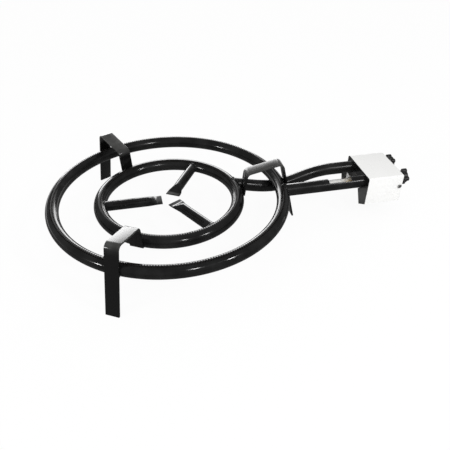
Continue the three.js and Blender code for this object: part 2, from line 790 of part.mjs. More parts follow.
// A pan head screw along +X, its head's seat at x = 0 and its shank before it.
function screwProfile(radius, length, headRadius, headLength) {
  return [
    [0, -length], [radius, -length], [radius, 0], [headRadius, 0],
    [headRadius, headLength * screwRimShare], [headRadius * screwCrownShare, headLength],
    [0, headLength],
  ];
}

function coverScrew(side) {
  const geometry = turned(screwProfile(coverScrewRadius, coverScrewLength, coverScrewHeadRadius,
    coverScrewHeadLength), smallSides);
  geometry.rotateZ(side * Math.PI / 2);
  const seat = side * coverWidth / 2;
  return geometry.translate(coverEnd - coverScrewInset, seat, ringHeight - coverScrewDrop);
}

function bonnetScrew(y) {
  const geometry = turned(screwProfile(bonnetScrewRadius, bonnetScrewLength, bonnetScrewHeadRadius,
    bonnetScrewHeadLength), smallSides);
  return geometry.translate(bracketEnd, y, ringHeight);
}

// Assembly.

const burner = new THREE.Group();

function place(name, geometry, material, { angle = 0, height = 0 } = {}) {
  const mesh = new THREE.Mesh(geometry, material);
  mesh.name = name;
  mesh.rotation.z = angle;
  mesh.position.z = height;
  burner.add(mesh);
}

place('outer_ring', outerRing(), enamel(), { height: ringHeight });
place('inner_ring', innerRing(), enamel(), { height: innerHeight });
spokeAngles.forEach((angle, i) => {
  place(`spoke_${i + 1}`, spoke(), enamel(), { angle, height: innerHeight });
});
['handle', 'far', 'near'].forEach((side, i) => {
  place(`support_${side}`, support(), enamel(), { angle: i * 2 * Math.PI / 3 });
});
place('feed_tube_outer', outerFeed(), enamel());
place('feed_tube_inner', innerFeed(), enamel());
place('tube_plate', tubePlate(), enamel());
place('cover', cover(), sheet());
place('tap_bracket', tapBracket(), zinc());
place('gas_rail', rail(), zinc());
place('rail_plug', railPlug(), brass());
place('hose_nozzle', hoseNozzle(), brass());
for (const [side, y, turn] of [['near', nearY, nearKnobTurn], ['far', farY, farKnobTurn]]) {
  place(`tap_body_${side}`, tapBody(y), brass());
  place(`tap_plug_${side}`, tapPlug(y), brass());
  place(`tap_bonnet_${side}`, bonnet(y), brass());
  place(`injector_${side}`, injector(y), brass());
  place(`spindle_${side}`, spindle(y), steel());
  place(`knob_${side}`, knob(y, turn), plastic());
  bonnetScrewPlaces(y).forEach((screwY, i) => {
    place(`bonnet_screw_${side}_${i + 1}`, bonnetScrew(screwY), steel());
  });
}
place('cover_screw_near', coverScrew(-1), steel());
place('cover_screw_far', coverScrew(1), steel());

// The origin lies on the floor under the middle of the whole outline.
burner.position.x = -(knobEnd - outerRingDiameter / 2) / 2;

export default burner;
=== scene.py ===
import math

import bpy
from bpy.props import FloatProperty, FloatVectorProperty, PointerProperty
from mathutils import Matrix, Vector


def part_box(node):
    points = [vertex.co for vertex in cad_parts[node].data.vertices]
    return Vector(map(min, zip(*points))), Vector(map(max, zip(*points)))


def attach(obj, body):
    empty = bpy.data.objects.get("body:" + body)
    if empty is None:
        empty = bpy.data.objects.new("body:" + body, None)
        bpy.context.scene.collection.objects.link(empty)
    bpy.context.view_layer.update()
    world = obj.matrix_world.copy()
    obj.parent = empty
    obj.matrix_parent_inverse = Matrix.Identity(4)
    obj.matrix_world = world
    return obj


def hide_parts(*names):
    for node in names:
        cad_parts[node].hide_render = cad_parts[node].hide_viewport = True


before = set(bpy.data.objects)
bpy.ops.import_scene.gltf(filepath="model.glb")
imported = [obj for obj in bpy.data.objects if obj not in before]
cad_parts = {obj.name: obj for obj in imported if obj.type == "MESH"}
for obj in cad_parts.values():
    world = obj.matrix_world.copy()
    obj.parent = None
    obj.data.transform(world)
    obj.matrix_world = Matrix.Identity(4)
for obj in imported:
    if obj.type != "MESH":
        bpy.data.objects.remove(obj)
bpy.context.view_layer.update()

# Twin ring gas burner for wide shallow pans: two perforated tube rings on three bent
# supports, two feed tubes with air windows, and two taps under a folded sheet cover.

bl_info = {
    "name": "Twin Ring Pan Burner",
    "version": (1, 0, 0),
    "blender": (4, 5, 0),
    "location": "3D View > Sidebar > Burner",
    "description": "Makes the pieces of a twin ring pan burner and the studio round it",
    "category": "Object",
}

BODY = "burner"
SIDES = ("near", "far")


def middle(node):
    """The centre of a CAD node's box."""
    low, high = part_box(node)
    return (low + high) / 2


def extent(node):
    """The size of a CAD node's box."""
    low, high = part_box(node)
    return high - low


RING_MIDDLE = middle("outer_ring")
INNER_MIDDLE = middle("inner_ring")
TUBE_RADIUS = extent("outer_ring").z / 2
OUTER_RADIUS = extent("outer_ring").y / 2 - TUBE_RADIUS
INNER_RADIUS = extent("inner_ring").y / 2 - TUBE_RADIUS
TUBE_HEIGHT = middle("feed_tube_outer").z
TUBE_Y = {side: middle(f"spindle_{side}").y for side in SIDES}
FEED_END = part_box("feed_tube_outer")[1].x
COVER_LOW, COVER_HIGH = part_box("cover")
PLATE_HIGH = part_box("tube_plate")[1]

# The gap between solids that touch, and how far a feed tube's end sinks into its ring.
SEAM = 0.0003
SINK = TUBE_RADIUS * 0.3

# Steps round rings and pipes and along a bend, and the sides of a drill.
RING_STEPS = 384
RING_TUBE_STEPS = 56
PIPE_STEPS = 48
BEND_STEPS = 12
DRILL_SIDES = 10

# How far each feed tube's air window is rolled from the top, in degrees.
WINDOW_TURNS = {"near": -13, "far": -95}


# Sizes, finishes and the studio's settings.

def amount(name, text, value, low=0.0, **more):
    return FloatProperty(name=name, description=text, default=value, min=low, **more)


def length(name, text, value):
    return amount(name, text, value, unit="LENGTH", precision=4)


def angle(name, text, degrees):
    return FloatProperty(name=name, description=text, default=math.radians(degrees), unit="ROTATION")


def colour(name, text, value):
    return FloatVectorProperty(name=name, description=text, default=value, size=4, min=0.0, max=1.0,
                               subtype="COLOR")


def share(name, text, value):
    return amount(name, text, value, max=1.0, subtype="FACTOR")


class BurnerSizes(bpy.types.PropertyGroup):
    """Sizes of the burner's pieces."""
    port_pitch: length("Port pitch", "Distance between two gas ports of a row", 0.0039)
    port_radius: length("Port radius", "Radius of a gas port", 0.0014)
    port_depth: length("Port depth", "How deep a gas port is drilled", 0.0016)
    inner_ring_low: angle("Inner ring, low row", "Tilt of the inner ring's lower ports from the top", 28.5)
    inner_ring_high: angle("Inner ring, high row", "Tilt of the inner ring's upper ports", 11.5)
    outer_ring_low: angle("Outer ring, low row", "Tilt of the outer ring's inward ports from the top", 11)
    outer_ring_high: angle("Outer ring, high row", "Tilt of the outer ring's outward ports", -9)
    spoke_row: angle("Spoke rows", "Tilt of a spoke's port rows from the top", 42)
    spoke_radius: length("Spoke radius", "Outside radius of a spoke", 0.0082)
    spoke_tip: length("Spoke tip", "Distance of a spoke's tip from the ring axis", 0.013)
    crimp_flat: length("Crimp flat", "Length that is pressed quite flat", 0.006)
    crimp_taper: length("Crimp taper", "Length over which the tube flattens", 0.018)
    crimp_half: length("Crimp half", "Half the thickness of the flat end", 0.001)
    bar_width: length("Support width", "Width of the flat bar of a support", 0.022)
    bar_thickness: length("Support thickness", "Thickness of the flat bar of a support", 0.003)
    bar_bend: length("Support bend", "Bend radius of a support at its middle line", 0.0085)
    bar_splay: angle("Leg splay", "Outward lean of a support's leg", 13.2)
    bar_slope: angle("Rest slope", "Slope of the rest that the pan stands on", 12.4)
    bar_lean: angle("Reach lean", "Lean of the end that holds the inner ring", 7)
    bar_reach: length("Reach", "How far the inner end passes below the inner ring's middle", 0.004)
    tube_wall: length("Tube wall", "Wall of the feed tubes", 0.0015)
    window_setback: length("Window setback", "Distance of an air window from the tube's end", 0.0345)
    window_length: length("Window length", "Length of an air window", 0.041)
    window_depth: length("Window depth", "Depth of an air window", 0.005)
    plate_wall: length("Plate wall", "Thickness of the plate round the feed tubes", 0.0015)
    sheet_wall: length("Sheet wall", "Thickness of the cover's sheet", 0.0015)
    sheet_bend: length("Sheet bend", "Outside bend radius of the cover", 0.00325)
    knob_radius: length("Knob radius", "Radius of a knob between its lobes", 0.0108)
    knob_reach: length("Knob reach", "Radius of a knob over its lobes", 0.0148)
    knob_lobe: length("Knob lobe", "Radius of a lobe's rounding", 0.0038)
    knob_edge: length("Knob edge", "Radius of a knob's front edge", 0.0012)
    knob_near_turn: angle("Near knob", "Turn of the near knob's lobes", -8)
    knob_far_turn: angle("Far knob", "Turn of the far knob's lobes", 48)
    nozzle_across: length("Nozzle hexagon", "Width of the nozzle's hexagon across its flats", 0.017)
    nozzle_hexagon: length("Nozzle hexagon length", "Length of the nozzle's hexagon", 0.008)
    nozzle_neck: length("Nozzle neck", "Radius of the nozzle behind its hexagon", 0.0065)
    nozzle_spigot: length("Nozzle spigot", "Radius of the nozzle inside the gas rail", 0.0057)
    nozzle_barb: length("Nozzle barb", "Radius of the nozzle between its barbs", 0.005)
    nozzle_rise: length("Nozzle barb rise", "Rise of a barb's ridge", 0.0009)
    nozzle_bore: length("Nozzle bore", "Radius of the nozzle's bore", 0.003)
    bead: length("Weld bead", "Radius of a weld's ripples", 0.0013)


class BurnerFinish(bpy.types.PropertyGroup):
    """Colours and gloss of the burner's finishes."""
    enamel: colour("Enamel", "Colour of the black enamel", (0.006, 0.006, 0.006, 1))
    enamel_gloss: share("Enamel roughness", "Roughness of the enamel", 0.1)
    paint: colour("Cover paint", "Colour of the white paint on the cover", (0.9, 0.9, 0.89, 1))
    # Near white and nearly matt: bare metal with a painted reflection of bright light.
    bright: colour("Bare tube", "Colour of the bare metal in the feed tubes", (0.95, 0.95, 0.94, 1))
    brass: colour("Brass", "Colour of the brass fittings", (0.72, 0.52, 0.24, 1))
    steel: colour("Steel", "Colour of the screws and spindles", (0.58, 0.58, 0.57, 1))
    zinc: colour("Zinc", "Colour of the plated rail and bracket", (0.6, 0.61, 0.6, 1))
    plastic: colour("Knob plastic", "Colour of the knobs", (0.011, 0.011, 0.011, 1))
    # This lighter colour stands for pan wear and a painted sheen on the rests, and for a painted sheen on the
    # plate's ears.
    wear_and_sheen: colour("Wear and sheen enamel", "Colour where pans rub the supports", (0.06, 0.06, 0.058, 1))
    soot: colour("Port wall", "Colour inside the gas ports", (0.012, 0.01, 0.009, 1))


class StudioSettings(bpy.types.PropertyGroup):
    """Floor, lamps and camera."""
    floor: colour("Floor", "Colour of the floor", (0.95, 0.95, 0.95, 1))
    floor_glow: share("Floor glow", "Share of the floor that the camera sees as plain white", 0.93)
    floor_near: share("Near floor", "Brightness of the near floor as it shows in glossy pieces", 0.15)
    floor_far: amount("Far floor", "Brightness of the far floor as it shows in glossy pieces", 1.6)
    world: share("World", "Strength of the even light from all round", 0.78)
    sky: share("Reflected sky", "Brightness of the room as it shows in glossy pieces", 0.22)
    screen: amount("Screen", "Brightness of the lit screen behind the burner", 8.5)
    lamp: amount("Lamps", "Power of each of the three lamps before the burner", 6.0, unit="POWER")
    lens: amount("Lens", "Focal length of the camera in millimetres", 40.0, low=1.0)


# Meshes.

def new_object(name, data):
    made = bpy.data.objects.new(name, data)
    bpy.context.scene.collection.objects.link(made)
    return made


def piece(name, points, faces=(), *finishes, edges=()):
    """An object from points, faces and edges, with its materials."""
    mesh = bpy.data.meshes.new(name)
    mesh.from_pydata([tuple(point) for point in points], edges, faces)
    mesh.validate()
    mesh.update()
    for finish in finishes:
        mesh.materials.append(material(finish))
    return new_object(name, mesh)


def settle(made):
    """Turns an object with modifiers into a plain mesh."""
    depsgraph = bpy.context.evaluated_depsgraph_get()
    depsgraph.update()
    mesh = bpy.data.meshes.new_from_object(made.evaluated_get(depsgraph), depsgraph=depsgraph)
    made.modifiers.clear()
    made.data = mesh
    drop_empty_slots(mesh)
    return made


def drop_empty_slots(mesh):
    """Removes material slots that hold nothing, and keeps each face's material."""
    kept = [material for material in mesh.materials if material]
    if len(kept) == len(mesh.materials):
        return
    places = [kept.index(material) if material else 0 for material in mesh.materials]
    chosen = [places[face.material_index] for face in mesh.polygons]
    mesh.materials.clear()
    for material in kept:
        mesh.materials.append(material)
    mesh.polygons.foreach_set("material_index", chosen)


def hand_over(made, body, nodes=(), sharp=35):
    """A finished piece gets its shading and its body, and the CAD nodes it stands for are hidden."""
    made.data.shade_smooth()
    made.data.set_sharp_from_angle(angle=math.radians(sharp))
    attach(made, body)
    if nodes:
        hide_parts(*nodes)


def lofted(sections, closed=False):
    """Points and faces of a skin over matching sections, capped at both ends."""
    count = len(sections[0])
    points = [point for section in sections for point in section]
    faces = []
    rows = len(sections) if closed else len(sections) - 1
    for k in range(rows):
        low = k * count
        high = (k + 1) % len(sections) * count
        for i in range(count):
            j = (i + 1) % count
            faces.append((low + i, low + j, high + j, high + i))
    if not closed:
        faces.append(tuple(reversed(range(count))))
        faces.append(tuple(range((len(sections) - 1) * count, len(sections) * count)))
    return points, faces


def turned(profile, sides=PIPE_STEPS):
    """Points and faces of a turned piece: (radius, place) pairs along +X, closed on its axis."""
    points = []
    rings = []
    for radius, place in profile:
        if radius < 1e-7:
            rings.append([len(points)] * sides)
            points.append(Vector((place, 0, 0)))
            continue
        rings.append(list(range(len(points), len(points) + sides)))
        points += [Vector((place, y, z)) for y, z in circle(radius, sides)]
    faces = []
    for low, high in zip(rings, rings[1:]):
        for i in range(sides):
            j = (i + 1) % sides
            face = list(dict.fromkeys((low[i], low[j], high[j], high[i])))
            if len(face) > 2:
                faces.append(tuple(face))
    return points, faces


def moved(points, matrix):
    return [matrix @ point for point in points]


def placed(place, turn, axis="Z"):
    """A turn about an axis, then a move."""
    return Matrix.Translation(place) @ Matrix.Rotation(turn, 4, axis)


def circle(radius, sides):
    return [(radius * math.cos(2 * math.pi * i / sides), radius * math.sin(2 * math.pi * i / sides))
            for i in range(sides)]


def quarter(x, y, radius, start, steps):
    """Points of a quarter circle round (x, y), anticlockwise from a number of quarter turns."""
    turns = [(start + i / steps) * math.pi / 2 for i in range(steps + 1)]
    return [(x + radius * math.cos(a), y + radius * math.sin(a)) for a in turns]


def rounded_box(half_width, half_height, radius, steps):
    """Outline of a rectangle with rounded corners, anticlockwise."""
    x, y = half_width - radius, half_height - radius
    return [point for k, (sx, sy) in enumerate(((1, 1), (-1, 1), (-1, -1), (1, -1)))
            for point in quarter(sx * x, sy * y, radius, k, steps)]


def rounded_path(corners, reach):
    """A line of corners with each corner drawn into a smooth curve."""
    path = [corners[0]]
    for before, corner, after in zip(corners, corners[1:], corners[2:]):
        into = corner + (before - corner).normalized() * min(reach, (before - corner).length / 2)
        out = corner + (after - corner).normalized() * min(reach, (after - corner).length / 2)
        for k in range(BEND_STEPS + 1):
            t = k / BEND_STEPS
            path.append(into * (1 - t) ** 2 + corner * 2 * t * (1 - t) + out * t ** 2)
    path.append(corners[-1])
    return [point for i, point in enumerate(path) if i == 0 or (point - path[i - 1]).length > 1e-6]


def pipe(path, radius, bore):
    """A hollow pipe along a path in a plane of constant y."""
    skins = []
    for size in (radius, bore):
        sections = []
        for i, point in enumerate(path):
            along = path[min(i + 1, len(path) - 1)] - path[max(i - 1, 0)]
            along.normalize()
            up = Vector((-along.z, 0, along.x))
            sections.append([point + Vector((0, 1, 0)) * u + up * v for u, v in circle(size, PIPE_STEPS)])
        skins.append(sections)
    outer, inner = skins
    return lofted(outer + inner[::-1], closed=True)


def cut_with(made, cutters, operation="DIFFERENCE"):
    """Cuts solids out of a piece, or adds them, and leaves a plain mesh."""
    for points, faces in cutters:
        tool = piece("tool", points, faces, *made.data.materials.keys())
        modifier = made.modifiers.new("cut", "BOOLEAN")
        modifier.operation = operation
        modifier.solver = "EXACT"
        modifier.object = tool
        settle(made)
        bpy.data.objects.remove(tool)
    return made


def prism(outline, x0, x1):
    """Points and faces of a (y, z) outline drawn out along X."""
    return lofted([[Vector((x, y, z)) for y, z in outline] for x in (x0, x1)])


# Node trees.

SOCKET_KINDS = {float: "Float", int: "Int", tuple: "Vector"}
PORT_INPUTS = {"Ports": 16, "Tube Radius": TUBE_RADIUS, "Port Radius": 0.0009, "Port Depth": 0.0016,
               "Enamel": "Material", "Port Wall": "Material"}


def fill(tree, node, inputs):
    """Links or sets a node's inputs. A tuple of sockets is linked one after the other."""
    for key, value in inputs.items():
        socket = node.inputs[key]
        several = isinstance(value, tuple) and isinstance(value[0], bpy.types.NodeSocket)
        for one in value if several else (value,):
            if isinstance(one, bpy.types.NodeSocket):
                tree.links.new(one, socket)
            else:
                socket.default_value = one


def put(tree, kind, inputs=None, **settings):
    """Adds a node, sets it up and fills its inputs."""
    made = tree.nodes.new(kind)
    for key, value in settings.items():
        setattr(made, key, value)
    fill(tree, made, inputs or {})
    return made


def first(tree, kind, inputs=None, **settings):
    """The first output of a new node."""
    return put(tree, kind, inputs, **settings).outputs[0]


def sums(tree, operation, *values):
    return first(tree, "ShaderNodeMath", dict(enumerate(values)), operation=operation)


def vector_sums(tree, operation, *values):
    return first(tree, "ShaderNodeVectorMath", dict(enumerate(values)), operation=operation)


def scaled(tree, vector, factor):
    return first(tree, "ShaderNodeVectorMath", {0: vector, "Scale": factor}, operation="SCALE")


def vector_of(tree, **parts):
    return first(tree, "ShaderNodeCombineXYZ", parts)


def soft_step(tree, value, start, end, low=0.0, high=1.0):
    """Goes softly from low to high while a value goes from start to end."""
    return first(tree, "ShaderNodeMapRange", {
        "Value": value, "From Min": start, "From Max": end, "To Min": low, "To Max": high,
    }, interpolation_type="SMOOTHSTEP")


def new_tree(name, inputs, outputs=("Geometry",), kind="GeometryNodeTree"):
    """A node group. An input is given by its default value, or by its kind of socket."""
    tree = bpy.data.node_groups.new(name, kind)
    for label, value in inputs.items():
        named = isinstance(value, str)
        made = tree.interface.new_socket(
            label, in_out="INPUT", socket_type="NodeSocket" + (value if named else SOCKET_KINDS[type(value)]))
        if not named:
            made.default_value = value
    for label in outputs:
        tree.interface.new_socket(label, in_out="OUTPUT",
                                  socket_type="NodeSocket" + ("Geometry" if label == "Geometry" else "Float"))
    return tree, tree.nodes.new("NodeGroupInput").outputs, tree.nodes.new("NodeGroupOutput")


def run_tree(made, name, values):
    """Puts a tree on an object with its inputs filled, and leaves a plain mesh."""
    modifier = made.modifiers.new(name, "NODES")
    modifier.node_group = bpy.data.node_groups[name]
    for item in modifier.node_group.interface.items_tree:
        if item.item_type == "SOCKET" and item.in_out == "INPUT" and item.name in values:
            modifier[item.identifier] = values[item.name]
    return settle(made)


def coat(tree, geometry, finish):
    """Makes instances real and gives them a material."""
    real = first(tree, "GeometryNodeRealizeInstances", {"Geometry": geometry})
    return first(tree, "GeometryNodeSetMaterial", {"Geometry": real, "Material": finish})


def drills_at(tree, points, normal, radius, depth):
    """A drill at each point, turned to a normal, with its faces marked as port walls."""
    drill = first(tree, "GeometryNodeMeshCylinder", {
        "Vertices": DRILL_SIDES, "Radius": radius, "Depth": sums(tree, "MULTIPLY", depth, 2.0)})
    turn = first(tree, "FunctionNodeAlignRotationToVector", {"Vector": normal}, axis="Z")
    drills = first(tree, "GeometryNodeInstanceOnPoints", {
        "Points": points, "Instance": drill, "Rotation": turn})
    solid = first(tree, "GeometryNodeRealizeInstances", {"Geometry": drills})
    return first(tree, "GeometryNodeStoreNamedAttribute", {"Geometry": solid, "Name": "port", "Value": True},
                 data_type="BOOLEAN", domain="FACE")


def drill_rows(tree, sockets, solid, rows, out):
    """Drills rows of gas ports, each a (middle line, normal) pair: enamel outside, soot in the ports."""
    drills = []
    for line, normal in rows:
        stand = scaled(tree, normal, sockets["Tube Radius"])
        places = first(tree, "GeometryNodePoints", {"Count": sockets["Ports"],
                                                    "Position": vector_sums(tree, "ADD", line, stand)})
        drills.append(drills_at(tree, places, normal, sockets["Port Radius"], sockets["Port Depth"]))
    cut = first(tree, "GeometryNodeMeshBoolean", {"Mesh 1": solid, "Mesh 2": tuple(drills)},
                operation="DIFFERENCE", solver="MANIFOLD")
    port = put(tree, "GeometryNodeInputNamedAttribute", {"Name": "port"}, data_type="BOOLEAN")
    fill(tree, out, {0: first(tree, "GeometryNodeSetMaterial", {
        "Geometry": coat(tree, cut, sockets["Enamel"]), "Selection": port.outputs["Attribute"],
        "Material": sockets["Port Wall"]})})


def ring_tree():
    """A tube ring with two staggered rows of drilled gas ports."""
    tree, sockets, out = new_tree("Perforated Ring", {
        "Geometry": "Geometry", "Ring Radius": INNER_RADIUS, "Inner Tilt": 0.8, "Outer Tilt": 0.5,
        **PORT_INPUTS})
    path, profile = (
        first(tree, "GeometryNodeCurvePrimitiveCircle", {"Resolution": steps, "Radius": sockets[radius]})
        for steps, radius in ((RING_STEPS, "Ring Radius"), (RING_TUBE_STEPS, "Tube Radius")))
    skin = first(tree, "GeometryNodeCurveToMesh", {"Curve": path, "Profile Curve": profile})
    index = first(tree, "GeometryNodeInputIndex")
    rows = []
    for tilt, phase in ((sockets["Inner Tilt"], 0.0), (sockets["Outer Tilt"], 0.5)):
        part = sums(tree, "DIVIDE", sums(tree, "ADD", index, phase), sockets["Ports"])
        turn = sums(tree, "MULTIPLY", part, 2 * math.pi)
        inward = vector_of(tree, X=sums(tree, "MULTIPLY", sums(tree, "COSINE", turn), -1.0),
                           Y=sums(tree, "MULTIPLY", sums(tree, "SINE", turn), -1.0))
        level = scaled(tree, inward, sums(tree, "SINE", tilt))
        normal = vector_sums(tree, "ADD", level, vector_of(tree, Z=sums(tree, "COSINE", tilt)))
        rows.append((scaled(tree, inward, sums(tree, "MULTIPLY", sockets["Ring Radius"], -1.0)), normal))
    drill_rows(tree, sockets, skin, rows, out)


def spoke_tree():
    """A tube along +X with two rows of drilled gas ports on its upper side."""
    tree, sockets, out = new_tree("Perforated Spoke", {
        "Geometry": "Geometry", "Start": 0.04, "Pitch": 0.0037, "Tilt": 0.6, **PORT_INPUTS})
    index = first(tree, "GeometryNodeInputIndex")
    rows = []
    for side, phase in ((1.0, 0.0), (-1.0, 0.5)):
        along = sums(tree, "MULTIPLY", sums(tree, "ADD", index, phase), sockets["Pitch"])
        line = vector_of(tree, X=sums(tree, "ADD", sockets["Start"], along))
        across = sums(tree, "MULTIPLY", sums(tree, "SINE", sockets["Tilt"]), side)
        rows.append((line, vector_of(tree, Y=across, Z=sums(tree, "COSINE", sockets["Tilt"]))))
    drill_rows(tree, sockets, sockets["Geometry"], rows, out)


RIPPLE_SPACING = 0.85


def weld_tree():
    """Ripples of weld metal along a line of edges."""
    tree, sockets, out = new_tree("Weld Bead", {
        "Geometry": "Geometry", "Bead Radius": 0.0013, "Seed": 7, "Enamel": "Material"})
    line = first(tree, "GeometryNodeMeshToCurve", {"Mesh": sockets["Geometry"]})
    spacing = sums(tree, "MULTIPLY", sockets["Bead Radius"], RIPPLE_SPACING)
    even = first(tree, "GeometryNodeResampleCurve", {"Curve": line, "Length": spacing}, mode="LENGTH")
    ripple = first(tree, "GeometryNodeMeshIcoSphere", {"Radius": sockets["Bead Radius"], "Subdivisions": 2})
    size = first(tree, "FunctionNodeRandomValue", {
        "Min": (0.85, 0.85, 0.85), "Max": (1.15, 1.15, 1.1), "Seed": sockets["Seed"],
    }, data_type="FLOAT_VECTOR")
    ripples = first(tree, "GeometryNodeInstanceOnPoints", {"Points": even, "Instance": ripple, "Scale": size})
    fill(tree, out, {0: coat(tree, ripples, sockets["Enamel"])})


def screw_tree():
    """One screw from a template object at each given point, turned to the point's facing."""
    tree, sockets, out = new_tree("Screws", {"Geometry": "Geometry", "Screw": "Object", "Steel": "Material"})
    screw = put(tree, "GeometryNodeObjectInfo", {"Object": sockets["Screw"]}).outputs["Geometry"]
    facing = put(tree, "GeometryNodeInputNamedAttribute", {"Name": "facing"}, data_type="FLOAT_VECTOR")
    turn = first(tree, "FunctionNodeAlignRotationToVector", {"Vector": facing.outputs["Attribute"]}, axis="X")
    screws = first(tree, "GeometryNodeInstanceOnPoints", {
        "Points": sockets["Geometry"], "Instance": screw, "Rotation": turn})
    fill(tree, out, {0: coat(tree, screws, sockets["Steel"])})


# Materials.

GRAIN_STRENGTH = 0.25
ENAMEL_GRAIN = 420.0
ENAMEL_DEPTH = 0.000012
ZONE_EDGE = 0.008
NO_REACH = 10.0


def object_place(tree):
    return put(tree, "ShaderNodeTexCoord").outputs["Object"]


def part_of(tree, vector, axis):
    return put(tree, "ShaderNodeSeparateXYZ", {0: vector}).outputs[axis]


def mottle_group():
    """Soft patches from Object coordinates: a mask, and a height for the bump."""
    tree, sockets, out = new_tree("Mottle", {
        "Patch Scale": 40.0, "Grain Scale": 900.0, "Patch Low": 0.4, "Patch High": 0.65,
    }, ("Mask", "Height"), "ShaderNodeTree")
    place = object_place(tree)
    patch, grain = (
        first(tree, "ShaderNodeTexNoise", {"Vector": place, "Scale": sockets[scale], "Detail": detail})
        for scale, detail in (("Patch Scale", 4.0), ("Grain Scale", 3.0)))
    mask = first(tree, "ShaderNodeMapRange", {"Value": patch, "From Min": sockets["Patch Low"],
                                              "From Max": sockets["Patch High"]})
    fill(tree, out, {"Mask": mask, "Height": grain})


def stroke_group():
    """Fine drawn lines along one direction: a mask and a height."""
    tree, sockets, out = new_tree("Drawn Grain", {"Stretch": (40.0, 1200.0, 1200.0)}, ("Mask", "Height"),
                                  "ShaderNodeTree")
    drawn = vector_sums(tree, "MULTIPLY", object_place(tree), sockets["Stretch"])
    lines = first(tree, "ShaderNodeTexNoise", {"Vector": drawn, "Scale": 1.0, "Detail": 3.0})
    fill(tree, out, {"Mask": lines, "Height": lines})


def zone_group():
    """A mask that comes in over a span of heights, within a reach of the ring axis."""
    tree, sockets, out = new_tree("Zone", {"Low": 0.0, "High": 0.1, "Reach": NO_REACH}, ("Mask",),
                                  "ShaderNodeTree")
    place = object_place(tree)
    span = soft_step(tree, part_of(tree, place, "Z"), sockets["Low"], sockets["High"])
    level = vector_sums(tree, "MULTIPLY", vector_sums(tree, "SUBTRACT", place, tuple(RING_MIDDLE)), (1, 1, 0))
    distance = put(tree, "ShaderNodeVectorMath", {0: level}, operation="LENGTH").outputs["Value"]
    within = soft_step(tree, distance, sums(tree, "ADD", sockets["Reach"], ZONE_EDGE), sockets["Reach"])
    fill(tree, out, {"Mask": sums(tree, "MULTIPLY", span, within)})


def new_material(name):
    made = bpy.data.materials.new(name)
    made.use_nodes = True
    return made.node_tree, made.node_tree.nodes["Principled BSDF"]


def material(name):
    return bpy.data.materials[name]


def blend_colours(tree, mask, low, high):
    return put(tree, "ShaderNodeMix", {"Factor": mask, 6: low, 7: high}, data_type="RGBA").outputs[2]


def blend_values(tree, mask, low, high):
    return first(tree, "ShaderNodeMapRange", {"Value": mask, "To Min": low, "To Max": high})


def use_group(tree, name, **values):
    made = tree.nodes.new("ShaderNodeGroup")
    made.node_tree = bpy.data.node_groups[name]
    fill(tree, made, {key.replace("_", " "): value for key, value in values.items()})
    return made.outputs


def lighter(value, factor):
    return tuple(min(1.0, part * factor) for part in value[:3]) + (1.0,)


def dress(tree, shader, masks, colours, roughness, relief, metallic=0.0, specular=0.5):
    """Fills a shader: colour and roughness by a mask each, and relief by (height, strength, distance)."""
    height, strength, distance = relief
    normal = first(tree, "ShaderNodeBump", {"Height": height, "Strength": strength, "Distance": distance})
    fill(tree, shader, {
        "Base Color": blend_colours(tree, masks[0], *colours),
        "Roughness": blend_values(tree, masks[1], *roughness),
        "Normal": normal, "Metallic": metallic, "Specular IOR Level": specular})


def surface(name, base, factor, roughness, metallic, patch, grain, depth, specular=0.5):
    """A finish with mottled colour and gloss and a fine grain."""
    tree, shader = new_material(name)
    mottle = use_group(tree, "Mottle", Patch_Scale=patch, Grain_Scale=grain)
    dress(tree, shader, (mottle["Mask"], mottle["Mask"]), (tuple(base), lighter(base, factor)), roughness,
          (mottle["Height"], GRAIN_STRENGTH, depth), metallic, specular)


def drawn_surface(name, base, factor, roughness, metallic, stretch, depth):
    """A drawn or rolled metal with fine lines and soft patches."""
    tree, shader = new_material(name)
    mottle = use_group(tree, "Mottle", Patch_Scale=18.0, Grain_Scale=700.0)
    lines = use_group(tree, "Drawn Grain", Stretch=stretch)
    dress(tree, shader, (mottle["Mask"], lines["Mask"]), (tuple(base), lighter(base, factor)), roughness,
          (lines["Height"], 0.2, depth), metallic)


def wear_and_sheen_surface(name, finish, low, high, dulling, specular, reach=NO_REACH):
    """Enamel that goes lighter and duller over a span of heights, within a reach of the ring axis: rubbing
    wear, and a painted sheen.
    """
    tree, shader = new_material(name)
    mottle = use_group(tree, "Mottle", Patch_Scale=55.0, Grain_Scale=ENAMEL_GRAIN,
                       Patch_Low=0.3, Patch_High=0.7)
    zone = use_group(tree, "Zone", Low=low, High=high, Reach=reach)
    least = 0.45
    mask = sums(tree, "MULTIPLY", zone["Mask"], blend_values(tree, mottle["Mask"], least, 1.0))
    gloss = finish.enamel_gloss
    dress(tree, shader, (mask, mask), (tuple(finish.enamel), tuple(finish.wear_and_sheen)), (gloss, gloss + dulling),
          (mottle["Height"], GRAIN_STRENGTH, ENAMEL_DEPTH), specular=specular)


